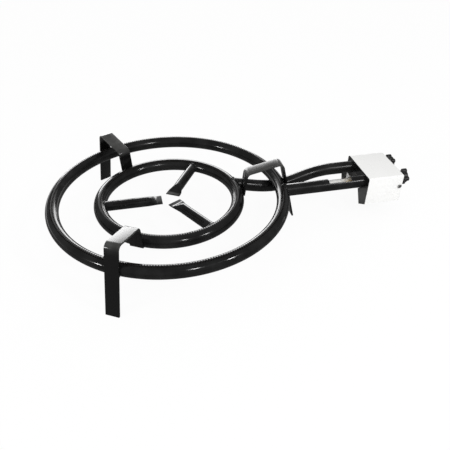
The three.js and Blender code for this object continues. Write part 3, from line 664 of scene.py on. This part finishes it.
def make_materials(finish):
    """Makes every finish of the burner."""
    for group in (mottle_group, stroke_group, zone_group):
        group()
    for name, rougher in (("black enamel", 0.0), ("feed enamel", 0.12)):
        gloss = finish.enamel_gloss + rougher
        surface(name, finish.enamel, 2.2, (gloss, gloss + 0.08), 0.0, 35.0, ENAMEL_GRAIN, ENAMEL_DEPTH, 0.35)
    # The rests go lighter and duller towards their tops, where pans rub: wear, and a painted sheen.
    wear_and_sheen_surface("rest wear and sheen enamel", finish, low=0.086, high=0.098, dulling=0.16, specular=0.35, reach=0.19)
    # Painted sheen: the plate goes lighter and duller below the tubes, on its ears, while its upper face
    # keeps the plain black enamel.
    wear_and_sheen_surface("plate enamel", finish, low=0.0655, high=0.0625, dulling=0.45, specular=0.5)
    # Name, colour, lighter patches, roughness, metallic, patch scale, grain scale, grain depth.
    surface("port wall", finish.soot, 1.8, (0.7, 0.95), 0.0, 200.0, 3000.0, 0.0001, 0.2)
    surface("white paint", finish.paint, 0.97, (0.24, 0.4), 0.0, 30.0, 500.0, 0.00001)
    # The bare metal inside the feed tubes is lightened to near white as a painted reflection.
    drawn_surface("bare tube", finish.bright, 0.95, (0.3, 0.45), 0.1, (30.0, 900.0, 900.0), 0.00003)
    surface("brass", finish.brass, 0.8, (0.26, 0.42), 1.0, 90.0, 1500.0, 0.00003)
    surface("steel", finish.steel, 0.8, (0.24, 0.4), 1.0, 120.0, 1500.0, 0.00003)
    surface("zinc plate", finish.zinc, 0.85, (0.32, 0.5), 1.0, 60.0, 900.0, 0.00003)
    surface("knob plastic", finish.plastic, 1.6, (0.36, 0.5), 0.0, 80.0, 2600.0, 0.00006)


def repaint(node, name):
    """Gives a CAD node a better material."""
    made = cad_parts[node]
    made.data.materials.clear()
    made.data.materials.append(material(name))


# Rings and welds.

def port_values(sizes, radius):
    """The inputs of a tree that drills gas ports into a tube."""
    return {"Tube Radius": radius, "Port Radius": sizes.port_radius, "Port Depth": sizes.port_depth,
            "Enamel": material("black enamel"), "Port Wall": material("port wall")}


def make_ring(name, radius, centre, rows, sizes):
    made = run_tree(piece(name, [(0, 0, 0)]), "Perforated Ring", {
        "Ring Radius": radius, "Ports": round(2 * math.pi * radius / sizes.port_pitch),
        "Inner Tilt": rows[0], "Outer Tilt": rows[1], **port_values(sizes, TUBE_RADIUS)})
    made.data.transform(Matrix.Translation(centre))
    return made


def saddle(radius, tube, y, centre, sign):
    """The line where a pipe along X meets a ring's tube, as points round the pipe."""
    line = []
    for i in range(PIPE_STEPS + 1):
        a = 2 * math.pi * i / PIPE_STEPS
        across, up = tube * math.cos(a), tube * math.sin(a)
        rho = radius + sign * math.sqrt(max(TUBE_RADIUS ** 2 - up ** 2, 0))
        x = math.sqrt(max(rho ** 2 - (y + across) ** 2, 0))
        line.append(Vector((centre.x + x, y + across, centre.z + up)))
    return line


def weld(name, lines, sizes, seed):
    """Weld beads along lines of points, as one piece."""
    points, edges = [], []
    for line in lines:
        start = len(points)
        points.extend(line)
        edges.extend((start + i, start + i + 1) for i in range(len(line) - 1))
    made = run_tree(piece(name, points, edges=edges), "Weld Bead", {
        "Bead Radius": sizes.bead, "Seed": seed, "Enamel": material("black enamel")})
    hand_over(made, BODY, sharp=180)


def turn_about_ring(angle_z):
    return placed((RING_MIDDLE.x, 0, 0), angle_z) @ Matrix.Translation((-RING_MIDDLE.x, 0, 0))


class BURNER_OT_rings(bpy.types.Operator):
    """Make the two perforated rings"""
    bl_idname = "burner.rings"
    bl_label = "Rings"

    def execute(self, context):
        sizes = context.scene.burner_sizes
        ring_tree()
        weld_tree()
        for name, radius, centre, rows in (
                ("outer_ring", OUTER_RADIUS, RING_MIDDLE, (sizes.outer_ring_low, sizes.outer_ring_high)),
                ("inner_ring", INNER_RADIUS, INNER_MIDDLE, (sizes.inner_ring_low, sizes.inner_ring_high))):
            made = make_ring(name + "_skin", radius, centre, rows, sizes)
            hand_over(made, BODY, [name], sharp=50)
        return {"FINISHED"}


# Spokes.

def crimped_sections(sizes, inside_end):
    """Sections of a tube that is squeezed flat towards its tip and keeps its girth."""
    count, steps = PIPE_STEPS, 18
    flat_end = sizes.spoke_tip + sizes.crimp_flat
    stations = [(sizes.spoke_tip, 1.0), (flat_end, 1.0)]
    for k in range(1, steps + 1):
        t = k / steps
        stations.append((flat_end + sizes.crimp_taper * t, 1 - t * t * (3 - 2 * t)))
    stations.append((inside_end, 0.0))
    sections = []
    for x, squeezed in stations:
        thick = sizes.spoke_radius + (sizes.crimp_half - sizes.spoke_radius) * squeezed
        wide = thick + math.pi * (sizes.spoke_radius - thick) / 2
        section = []
        for i in range(count):
            end = 1 if i < count / 2 else -1
            a = (i % (count // 2) + 0.5) * 2 * math.pi / count - math.pi / 2
            across = wide - thick + thick * math.cos(a)
            up = thick * math.sin(a)
            section.append(Vector((RING_MIDDLE.x + x, end * across, INNER_MIDDLE.z + end * up)))
        sections.append(section)
    return sections


class BURNER_OT_spokes(bpy.types.Operator):
    """Make the three crimped spokes of the inner ring"""
    bl_idname = "burner.spokes"
    bl_label = "Spokes"

    def execute(self, context):
        sizes = context.scene.burner_sizes
        spoke_tree()
        start = sizes.spoke_tip + sizes.crimp_flat + sizes.crimp_taper + sizes.port_pitch
        end = INNER_RADIUS - TUBE_RADIUS - sizes.port_pitch * 1.5
        inside_end = INNER_RADIUS - TUBE_RADIUS * 0.6
        lines = []
        for i in range(3):
            turn = math.radians(60 + 120 * i)
            name = f"spoke_{i + 1}"
            made = piece(name + "_skin", *lofted(crimped_sections(sizes, inside_end)))
            made.data.transform(Matrix.Translation((-RING_MIDDLE.x, 0, -INNER_MIDDLE.z)))
            run_tree(made, "Perforated Spoke", {
                "Start": start, "Pitch": sizes.port_pitch, "Ports": int((end - start) / sizes.port_pitch),
                "Tilt": sizes.spoke_row, **port_values(sizes, sizes.spoke_radius)})
            made.data.transform(Matrix.Translation((0, 0, INNER_MIDDLE.z)))
            made.data.transform(placed((RING_MIDDLE.x, 0, 0), turn))
            hand_over(made, BODY, [name], sharp=50)
            joint = saddle(INNER_RADIUS, sizes.spoke_radius, 0, INNER_MIDDLE, -1)
            lines.append(moved(joint, turn_about_ring(turn)))
        weld("spoke_welds", lines, sizes, seed=3)
        return {"FINISHED"}


# Pan supports.

def meeting(p, d, q, e):
    """Where the line through p along d meets the line through q along e."""
    cross = d.x * e.y - d.y * e.x
    gap = q - p
    return p + d * ((gap.x * e.y - gap.y * e.x) / cross)


def heading(angle):
    """A unit direction at an angle from level, and the one a quarter turn on from it."""
    return Vector((math.cos(angle), math.sin(angle))), Vector((-math.sin(angle), math.cos(angle)))


def support_corners(sizes):
    """The middle line of the bent bar, in a plane of (distance from the ring axis, height)."""
    stand = TUBE_RADIUS + SEAM + sizes.bar_thickness / 2
    leg_out, leg_up = heading(sizes.bar_splay)
    reach_out, reach_up = heading(-sizes.bar_lean)
    rest_along, rest_up = heading(sizes.bar_slope)
    on_leg = Vector((OUTER_RADIUS, RING_MIDDLE.z)) + leg_out * stand
    on_reach = Vector((INNER_RADIUS, INNER_MIDDLE.z)) + reach_out * stand
    centre_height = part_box("support_handle")[1].z - sizes.bar_bend - sizes.bar_thickness / 2
    centre = on_leg - leg_out * sizes.bar_bend
    centre = centre + leg_up * ((centre_height - centre.y) / leg_up.y)
    on_rest = centre + rest_up * sizes.bar_bend
    level = Vector((1, 0))
    return [
        meeting(on_leg, leg_up, Vector((0, 0)), level),
        meeting(on_leg, leg_up, on_rest, rest_along),
        meeting(on_reach, reach_up, on_rest, rest_along),
        meeting(on_reach, reach_up, Vector((0, INNER_MIDDLE.z - sizes.bar_reach)), level),
    ]


def bent_run(corners, radius):
    """Points and directions along a line of corners, with each corner bent to a radius."""
    run = [(corners[0], (corners[1] - corners[0]).normalized())]
    for before, corner, after in zip(corners, corners[1:], corners[2:]):
        into = (corner - before).normalized()
        out = (after - corner).normalized()
        turn = math.atan2(into.x * out.y - into.y * out.x, into.dot(out))
        start = corner - into * radius * math.tan(abs(turn) / 2)
        side = Vector((-into.y, into.x)) * math.copysign(radius, turn)
        for k in range(BEND_STEPS + 1):
            a = turn * k / BEND_STEPS
            spin = Matrix.Rotation(a, 2)
            run.append((start + side - spin @ side, spin @ into))
    run.append((corners[-1], (corners[-1] - corners[-2]).normalized()))
    return run


def support_sections(sizes):
    """Rounded bar sections along the bent middle line, level at the foot."""
    edge = 0.0004
    outline = rounded_box(sizes.bar_width / 2, sizes.bar_thickness / 2, edge, 3)
    run = bent_run(support_corners(sizes), sizes.bar_bend)
    sections = []
    for i, (point, along) in enumerate(run):
        side = Vector((-along.y, along.x))
        section = []
        for across, out in outline:
            place = point + side * out
            if i == 0:
                place = place + along * (-place.y / along.y)
            section.append(Vector((RING_MIDDLE.x + place.x, -across, place.y)))
        sections.append(section)
    return sections


class BURNER_OT_supports(bpy.types.Operator):
    """Make the three bent pan supports"""
    bl_idname = "burner.supports"
    bl_label = "Pan supports"

    def execute(self, context):
        sizes = context.scene.burner_sizes
        points, faces = lofted(support_sections(sizes))
        half, steps, bead_stand = sizes.bar_width * 0.4, 8, 0.0008
        lines = []
        for i, side in enumerate(("handle", "far", "near")):
            turn = turn_about_ring(math.radians(120 * i))
            # The bars' rests are painted lighter towards their tops: pan wear and a painted sheen.
            made = piece(f"support_{side}_bar", moved(points, turn), faces, "rest wear and sheen enamel")
            hand_over(made, BODY, [f"support_{side}"], sharp=40)
            for radius, centre, tilt in ((OUTER_RADIUS, RING_MIDDLE, 34), (INNER_RADIUS, INNER_MIDDLE, 30)):
                a = math.radians(-tilt)
                out = TUBE_RADIUS + bead_stand
                x, z = RING_MIDDLE.x + radius + out * math.cos(a), centre.z + out * math.sin(a)
                line = [Vector((x, y * half / steps, z)) for y in range(-steps, steps + 1)]
                lines.append(moved(line, turn))
        weld("support_welds", lines, sizes, seed=5)
        return {"FINISHED"}


# Feed tubes.

def window_cutter(sizes, y, turn):
    """A rounded slot across a feed tube, rolled about the tube's own axis."""
    corner = 0.003
    x0 = FEED_END - sizes.window_setback - sizes.window_length
    outline = rounded_box(sizes.window_length / 2, TUBE_RADIUS * 1.6, corner, 4)
    low = TUBE_RADIUS - sizes.window_depth
    sections = [[Vector((x0 + sizes.window_length / 2 + a, b, z)) for a, b in outline]
                for z in (low, TUBE_RADIUS * 2)]
    points, faces = lofted(sections)
    return moved(points, placed((0, y, TUBE_HEIGHT), turn, "X")), faces


def dip_path():
    """The far tube falls under the outer ring and rises again beside the near tube."""
    y = TUBE_Y["far"]
    ring_x = RING_MIDDLE.x
    crossing = ring_x + math.sqrt(OUTER_RADIUS ** 2 - y ** 2)
    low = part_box("feed_tube_inner")[0].z + TUBE_RADIUS
    fall_start, level_half, rise_end, bend = 0.074, 0.016, 0.084, 0.024
    corners = [
        (ring_x + math.sqrt(INNER_RADIUS ** 2 - y ** 2) + SINK, INNER_MIDDLE.z),
        (crossing - fall_start, INNER_MIDDLE.z), (crossing - level_half, low), (crossing + level_half, low),
        (crossing + rise_end, TUBE_HEIGHT), (FEED_END, TUBE_HEIGHT),
    ]
    return rounded_path([Vector((x, y, z)) for x, z in corners], bend)


class BURNER_OT_feed_tubes(bpy.types.Operator):
    """Make the two feed tubes with their air windows"""
    bl_idname = "burner.feed_tubes"
    bl_label = "Feed tubes"

    def execute(self, context):
        sizes = context.scene.burner_sizes
        near = TUBE_Y["near"]
        start = RING_MIDDLE.x + math.sqrt(OUTER_RADIUS ** 2 - near ** 2) + SINK
        straight = [Vector((start, near, TUBE_HEIGHT)), Vector((FEED_END, near, TUBE_HEIGHT))]
        bore = TUBE_RADIUS - sizes.tube_wall
        for name, path, side in (("feed_tube_outer", straight, "near"),
                                 ("feed_tube_inner", dip_path(), "far")):
            # The bore takes the near-white bare metal, a painted reflection.
            made = piece(name + "_pipe", *pipe(path, TUBE_RADIUS, bore), "feed enamel", "bare tube")
            rows = len(path)
            for k in range(rows * PIPE_STEPS, (2 * rows - 1) * PIPE_STEPS):
                made.data.polygons[k].material_index = 1
            cut_with(made, [window_cutter(sizes, TUBE_Y[side], math.radians(WINDOW_TURNS[side]))])
            hand_over(made, BODY, [name], sharp=40)
        weld("feed_welds", [
            saddle(OUTER_RADIUS, TUBE_RADIUS, near, RING_MIDDLE, 1),
            saddle(INNER_RADIUS, TUBE_RADIUS, TUBE_Y["far"], INNER_MIDDLE, 1),
        ], sizes, seed=11)
        return {"FINISHED"}


# Cover.

def cover_block(x0, x1, half, low, high, radius, back):
    """A solid with rounded long top edges and a rounded back, open edges square."""
    turns = [math.pi / 2 * k / back for k in range(back + 1)]
    stations = [(x0, 0.0)]
    stations += [(x1 - radius + radius * math.sin(a), radius * (1 - math.cos(a))) for a in turns]
    sections = []
    for x, inset in stations:
        w, h, r = half - inset, high - inset, max(radius - inset, 0.0002)
        section = [(-w, low), (w, low)] + quarter(w - r, h - r, r, 0, 8) + quarter(r - w, h - r, r, 1, 8)
        sections.append([Vector((x, y, z)) for y, z in section])
    return lofted(sections)


def rod(axis, radius, low, high, at, sides=32):
    """A cutting rod along X or Y."""
    points, faces = turned([(0, low), (radius, low), (radius, high), (0, high)], sides)
    if axis == "Y":
        points = moved(points, Matrix.Rotation(math.pi / 2, 4, "Z"))
    return moved(points, Matrix.Translation(at)), faces


def plate_ear(side, half, wall, root):
    """A tapered ear that turns in from a side edge of the plate round the feed tubes."""
    foot_width, top_width, drop, slope, turn_in = 0.0098, 0.016, 0.007, 0.003, math.radians(26)
    top = TUBE_HEIGHT - drop
    outline = [(-wall / 2, COVER_LOW.z), (foot_width, COVER_LOW.z), (top_width, top),
               (-wall / 2, top + slope)]
    sections = [[Vector((x, y, z)) for x, z in outline] for y in (wall / 2, -wall / 2)]
    points, faces = lofted(sections)
    turn = math.pi + side * turn_in
    return moved(points, placed((root, side * (half - wall / 2), 0), turn)), faces


def make_tube_plate(sizes):
    """The plate that closes the front of the cover round the feed tubes, with its two ears."""
    wall, corner, clearance, reach, skirt = sizes.plate_wall, 0.0025, 0.0002, 0.01, 0.02
    half, low, high = PLATE_HIGH.y, TUBE_HEIGHT - skirt, PLATE_HIGH.z
    outline = [(-half, low), (half, low)]
    for x, start in ((half - corner, 0), (corner - half, 1)):
        outline += quarter(x, high - corner, corner, start, 6)
    x1 = PLATE_HIGH.x
    # The plate's material paints a lighter sheen on its ears below the tubes.
    made = piece("tube_plate_sheet", *prism(outline, x1 - wall, x1), "plate enamel")
    cut_with(made, [plate_ear(side, half, wall, x1 - wall / 2) for side in (-1, 1)], "UNION")
    cut_with(made, [rod("X", TUBE_RADIUS + clearance, x1 - reach, x1 + reach,
                        (0, TUBE_Y[side], TUBE_HEIGHT), PIPE_STEPS) for side in SIDES])
    hand_over(made, BODY, ["tube_plate"], sharp=32)


class BURNER_OT_cover(bpy.types.Operator):
    """Make the folded cover over the taps and its front plate, and repaint its bracket"""
    bl_idname = "burner.cover"
    bl_label = "Cover"

    def execute(self, context):
        sizes = context.scene.burner_sizes
        wall = sizes.sheet_wall
        half = COVER_HIGH.y
        rail = middle("gas_rail")
        spindle_hole, rail_hole, reach = 0.0045, 0.0072, 0.004
        made = piece("cover_sheet_box", *cover_block(
            COVER_LOW.x, COVER_HIGH.x, half, COVER_LOW.z, COVER_HIGH.z, sizes.sheet_bend, 6), "white paint")
        inner = cover_block(COVER_LOW.x - 0.01, COVER_HIGH.x - wall, half - wall, COVER_LOW.z - 0.01,
                            COVER_HIGH.z - wall, sizes.sheet_bend - wall, 4)
        cuts = [inner]
        cuts += [rod("X", spindle_hole, COVER_HIGH.x - reach, COVER_HIGH.x + reach,
                     (0, TUBE_Y[side], TUBE_HEIGHT)) for side in SIDES]
        cuts.append(rod("Y", rail_hole, half - reach, half + reach, (rail.x, 0, rail.z)))
        cut_with(made, cuts)
        hand_over(made, BODY, ["cover"], sharp=32)
        make_tube_plate(sizes)
        repaint("tap_bracket", "zinc plate")
        return {"FINISHED"}


# Taps and gas rail.

class BURNER_OT_taps(bpy.types.Operator):
    """Finish the taps, injectors and spindles"""
    bl_idname = "burner.taps"
    bl_label = "Taps"

    def execute(self, context):
        for side in SIDES:
            for node in ("tap_body", "tap_plug", "tap_bonnet", "injector"):
                repaint(f"{node}_{side}", "brass")
            repaint(f"spindle_{side}", "steel")
        return {"FINISHED"}


def make_nozzle(sizes, barbs=4, chamfer=0.0006):
    """The hose nozzle along +Y: a spigot, a neck, a hexagon and its barbs."""
    low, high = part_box("hose_nozzle")
    neck_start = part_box("gas_rail")[1].y + SEAM
    hexagon_start = COVER_HIGH.y + SEAM
    hexagon_end = hexagon_start + sizes.nozzle_hexagon
    pitch = (high.y - hexagon_end) / barbs
    spigot, neck, barb = sizes.nozzle_spigot, sizes.nozzle_neck, sizes.nozzle_barb
    profile = [(0, low.y), (spigot - chamfer, low.y), (spigot, low.y + chamfer), (spigot, neck_start),
               (neck, neck_start), (neck, hexagon_end)]
    for i in range(barbs):
        start = hexagon_end + i * pitch
        profile += [(barb, start), (barb + sizes.nozzle_rise, start + chamfer),
                    (barb + sizes.nozzle_rise, start + 2 * chamfer)]
    profile += [(barb, high.y - chamfer), (barb - chamfer, high.y), (0, high.y)]
    corner = sizes.nozzle_across / 2 / math.cos(math.pi / 6)
    hexagon = [(0, hexagon_start), (corner - chamfer, hexagon_start), (corner, hexagon_start + chamfer),
               (corner, hexagon_end - chamfer), (corner - chamfer, hexagon_end), (0, hexagon_end)]
    place = middle("hose_nozzle")
    stand = placed((place.x, 0, place.z), math.pi / 2)
    points, faces = turned(profile)
    made = piece("hose_nozzle_turned", moved(points, stand), faces, "brass")
    points, faces = turned(hexagon, 6)
    cut_with(made, [(moved(points, stand), faces)], "UNION")
    cut_with(made, [rod("Y", sizes.nozzle_bore, low.y - pitch, high.y + pitch, (place.x, 0, place.z))])
    hand_over(made, BODY, ["hose_nozzle"], sharp=30)


class BURNER_OT_gas_rail(bpy.types.Operator):
    """Finish the gas rail, its plug and its hose nozzle"""
    bl_idname = "burner.gas_rail"
    bl_label = "Gas rail"

    def execute(self, context):
        repaint("gas_rail", "zinc plate")
        repaint("rail_plug", "brass")
        make_nozzle(context.scene.burner_sizes)
        return {"FINISHED"}


# Knobs.

def lobed_radius(a, sizes):
    """Radius of the lobed outline at an angle from a lobe's middle, softly blended."""
    lobe, body = sizes.knob_lobe, sizes.knob_radius
    centre = sizes.knob_reach - lobe
    a = (a + math.pi / 4) % (math.pi / 2) - math.pi / 4
    across = centre * math.sin(a)
    reach = centre * math.cos(a) + math.sqrt(lobe ** 2 - across ** 2) if abs(across) < lobe else 0.0
    soft = 0.0012
    mix = min(max(0.5 + (reach - body) / (2 * soft), 0.0), 1.0)
    return body + (reach - body) * mix + soft * mix * (1 - mix)


def knob_body(sizes, length, turn):
    """Points and faces of a knob with four finger lobes and soft edges, from x = 0 to its length."""
    steps = 96
    turns = [2 * math.pi * i / steps for i in range(steps)]
    outline = [(min(lobed_radius(a - turn, sizes), sizes.knob_reach), a) for a in turns]
    edge, soft = sizes.knob_edge, 0.0005
    stations = [(0.0, soft), (soft * 0.3, soft * 0.3), (soft, 0.0)]
    stations += [(length - edge + edge * math.sin(a), edge * (1 - math.cos(a)))
                 for a in (math.pi / 2 * k / 6 for k in range(7))]
    # The front face is a little hollow: depth, and distance in from the rounded edge.
    stations += [(length - depth, edge + inward) for depth, inward in ((0.0004, 0.0016), (0.0007, 0.003))]
    return lofted([[Vector((x, -(r - inset) * math.sin(a), (r - inset) * math.cos(a))) for r, a in outline]
                   for x, inset in stations])


class BURNER_OT_knobs(bpy.types.Operator):
    """Make the two control knobs"""
    bl_idname = "burner.knobs"
    bl_label = "Knobs"

    def execute(self, context):
        sizes = context.scene.burner_sizes
        for side, turn in (("near", sizes.knob_near_turn), ("far", sizes.knob_far_turn)):
            low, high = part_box(f"knob_{side}")
            made = piece(f"knob_{side}_cap", *knob_body(sizes, high.x - low.x, turn), "knob plastic")
            socket_radius, socket_depth = 0.00325, 0.0064
            cut_with(made, [rod("X", socket_radius, -0.002, socket_depth, (0, 0, 0))])
            made.data.transform(Matrix.Translation((low.x, TUBE_Y[side], TUBE_HEIGHT)))
            hand_over(made, f"knob_{side}", [f"knob_{side}"], sharp=38)
        return {"FINISHED"}


# Screws.

def screw_template(name, radius, length_under, head, thick):
    """A pan head screw along +X with a crossed recess, its seat at x = 0."""
    rim, sides = 0.35, 28
    dome = [(head * math.cos(a), thick * (rim + 0.65 * math.sin(a)))
            for a in (math.pi / 2 * k / 6 for k in range(7))]
    points, faces = turned([(0, -length_under), (radius * 0.6, -length_under),
                            (radius, radius * 0.4 - length_under), (radius, 0), (head, 0)] + dome, sides)
    made = piece(name, points, faces, "steel")
    arm, slot = head * 0.5, head * 0.09
    return cut_with(made, [prism([(-y, -z), (y, -z), (y, z), (-y, z)], thick * rim, thick * 2)
                           for y, z in ((arm, slot), (slot, arm))])


def set_screws(name, places, template, nodes):
    """Screws at (point, facing) pairs, as one piece."""
    made = piece(name, [point for point, way in places])
    facing = made.data.attributes.new("facing", "FLOAT_VECTOR", "POINT")
    for i, (point, way) in enumerate(places):
        facing.data[i].vector = way
    run_tree(made, "Screws", {"Screw": template, "Steel": material("steel")})
    bpy.data.objects.remove(template)
    hand_over(made, BODY, nodes, sharp=32)


class BURNER_OT_screws(bpy.types.Operator):
    """Make the screws of the cover and of the taps"""
    bl_idname = "burner.screws"
    bl_label = "Screws"

    def execute(self, context):
        screw_tree()
        places = []
        for side, sign in (("near", -1), ("far", 1)):
            place = middle(f"cover_screw_{side}")
            places.append((Vector((place.x, sign * COVER_HIGH.y, place.z)), (0, sign, 0)))
        template = screw_template("cover_screw", radius=0.002, length_under=0.006, head=0.0038, thick=0.0022)
        set_screws("cover_screws", places, template, ["cover_screw_near", "cover_screw_far"])
        places, nodes, head_height = [], [], 0.002
        for side in SIDES:
            for i in (1, 2):
                node = f"bonnet_screw_{side}_{i}"
                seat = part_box(node)[1].x - head_height
                places.append((Vector((seat, middle(node).y, TUBE_HEIGHT)), (1, 0, 0)))
                nodes.append(node)
        template = screw_template("bonnet_screw", radius=0.0014, length_under=0.011, head=0.0024, thick=0.002)
        set_screws("bonnet_screws", places, template, nodes)
        return {"FINISHED"}


# Studio.

FLOOR_HALF = 6.0
FLOOR_FADE = (0.12, 0.6)
SCREEN_Y = 2.5
SCREEN_X = (-1.1, 1.3)
SCREEN_TOP = 2.35
# Where the screen fades: axis, start, end, and the share of its light that is left.
SCREEN_FADES = (("Z", 1.0, 1.4, 0.14), ("Z", 1.8, 2.2, 0.1), ("X", 0.95, 1.2, 0.03))
# Each lamp's compass turn and its rise over the floor, in degrees.
LAMPS = (("front lamp", -77, 39.5), ("right lamp", -43, 36.5), ("left lamp", -157, 17))
LAMP_DISTANCE = 2.0
LAMP_SIZE = 0.17
LAMP_AIM = 0.07


def plain_rays(tree, rays):
    """The rays that see plain white: the camera's, and those through glass."""
    return sums(tree, "MAXIMUM", rays["Is Camera Ray"], rays["Is Transmission Ray"])


def white_glow(tree, strength):
    return first(tree, "ShaderNodeEmission", {"Color": (1, 1, 1, 1), "Strength": strength})


def stage_sheet(name, corners):
    """A flat sheet of the studio, in its own material."""
    made = piece(name, corners, [(0, 1, 2, 3)], "studio " + name)
    return made


def make_floor(studio):
    """A matt floor that the camera sees as plain white, darker near by in glossy pieces."""
    tree, shader = new_material("studio floor")
    fill(tree, shader, {"Base Color": tuple(studio.floor), "Roughness": 1.0, "Specular IOR Level": 0.0})
    rays = tree.nodes.new("ShaderNodeLightPath").outputs
    mirrored = soft_step(tree, part_of(tree, object_place(tree), "Y"), *FLOOR_FADE,
                         studio.floor_near, studio.floor_far)
    strength = first(tree, "ShaderNodeMix", {0: rays["Is Glossy Ray"], 2: 1.0, 3: mirrored},
                     data_type="FLOAT")
    seen = sums(tree, "MAXIMUM", sums(tree, "MULTIPLY", plain_rays(tree, rays), studio.floor_glow),
                rays["Is Glossy Ray"])
    mix = first(tree, "ShaderNodeMixShader", {0: seen, 1: shader.outputs[0], 2: white_glow(tree, strength)})
    fill(tree, tree.nodes["Material Output"], {"Surface": mix})
    side = FLOOR_HALF
    stage_sheet("floor", [(-side, -side, 0), (side, -side, 0), (side, side, 0), (-side, side, 0)])


def make_world(studio):
    world = bpy.data.worlds.new("studio")
    world.use_nodes = True
    tree = world.node_tree
    back = tree.nodes["Background"]
    rays = tree.nodes.new("ShaderNodeLightPath").outputs
    even = blend_values(tree, rays["Is Glossy Ray"], studio.world, studio.sky)
    white = first(tree, "ShaderNodeMix", {0: plain_rays(tree, rays), 2: even, 3: 1.0}, data_type="FLOAT")
    fill(tree, back, {"Color": (1, 1, 1, 1), "Strength": white})
    bpy.context.scene.world = world


def make_screen(studio):
    """A lit screen far behind the burner that shows only in glossy pieces."""
    tree, shader = new_material("studio screen")
    place = object_place(tree)
    strength = studio.screen
    for axis, start, end, left in SCREEN_FADES:
        fade = soft_step(tree, part_of(tree, place, axis), start, end, 1.0, left)
        strength = sums(tree, "MULTIPLY", fade, strength)
    fill(tree, tree.nodes["Material Output"], {"Surface": white_glow(tree, strength)})
    tree.nodes.remove(shader)
    low, high = SCREEN_X
    screen = stage_sheet("screen", [(low, SCREEN_Y, 0), (high, SCREEN_Y, 0), (high, SCREEN_Y, SCREEN_TOP),
                                    (low, SCREEN_Y, SCREEN_TOP)])
    for kind in ("camera", "diffuse", "transmission", "shadow", "volume_scatter"):
        setattr(screen, f"visible_{kind}", False)


def make_lamp(name, turn, rise, power):
    """A small square lamp that points at the rings."""
    turn, rise = math.radians(turn), math.radians(rise)
    way = Vector((math.cos(turn) * math.cos(rise), math.sin(turn) * math.cos(rise), math.sin(rise)))
    target = Vector((RING_MIDDLE.x, 0, LAMP_AIM))
    lamp = bpy.data.lights.new(name, "AREA")
    lamp.shape = "SQUARE"
    lamp.size = LAMP_SIZE
    lamp.energy = power
    made = new_object(name, lamp)
    made.location = target + way * LAMP_DISTANCE
    made.rotation_euler = (-way).to_track_quat("-Z", "Y").to_euler()


def make_camera(studio):
    lens = bpy.data.cameras.new("camera")
    lens.sensor_width = 36.0
    lens.lens = studio.lens
    lens.clip_end = 50.0
    made = new_object("camera", lens)
    right = Vector((0.9773, -0.2120, 0.0037))
    up = Vector((0.1252, 0.5907, 0.7971))
    back = Vector((-0.1712, -0.7786, 0.6038))
    place = Vector((RING_MIDDLE.x - 0.0586, -0.7001, 0.5325))
    turn = Matrix((right, up, back)).transposed().to_4x4()
    made.matrix_world = Matrix.Translation(place) @ turn
    bpy.context.scene.camera = made


class BURNER_OT_studio(bpy.types.Operator):
    """Make the floor, the lamps and the camera"""
    bl_idname = "burner.studio"
    bl_label = "Studio"

    def execute(self, context):
        studio = context.scene.burner_studio
        make_floor(studio)
        make_world(studio)
        make_screen(studio)
        for name, turn, rise in LAMPS:
            make_lamp(name, turn, rise, studio.lamp)
        make_camera(studio)
        context.scene.view_settings.view_transform = "Standard"
        return {"FINISHED"}


# Panel and start.

PIECES = (BURNER_OT_rings, BURNER_OT_spokes, BURNER_OT_supports, BURNER_OT_feed_tubes, BURNER_OT_cover,
          BURNER_OT_taps, BURNER_OT_gas_rail, BURNER_OT_knobs, BURNER_OT_screws, BURNER_OT_studio)


class BURNER_PT_pieces(bpy.types.Panel):
    """Lists the burner's pieces"""
    bl_idname = "BURNER_PT_pieces"
    bl_label = "Pan burner"
    bl_space_type = "VIEW_3D"
    bl_region_type = "UI"
    bl_category = "Burner"

    def draw(self, context):
        for operator in PIECES:
            self.layout.operator(operator.bl_idname)
        scene = context.scene
        for settings in (scene.burner_sizes, scene.burner_finish, scene.burner_studio):
            column = self.layout.column(align=True)
            for name in settings.__annotations__:
                column.prop(settings, name)


CLASSES = (BurnerSizes, BurnerFinish, StudioSettings) + PIECES + (BURNER_PT_pieces,)


def register():
    for made in CLASSES:
        bpy.utils.register_class(made)
    bpy.types.Scene.burner_sizes = PointerProperty(type=BurnerSizes)
    bpy.types.Scene.burner_finish = PointerProperty(type=BurnerFinish)
    bpy.types.Scene.burner_studio = PointerProperty(type=StudioSettings)


def unregister():
    del bpy.types.Scene.burner_studio
    del bpy.types.Scene.burner_finish
    del bpy.types.Scene.burner_sizes
    for made in reversed(CLASSES):
        bpy.utils.unregister_class(made)


def main():
    register()
    make_materials(bpy.context.scene.burner_finish)
    for operator in PIECES:
        group, name = operator.bl_idname.split(".")
        getattr(getattr(bpy.ops, group), name)()


if __name__ == "__main__":
    main()
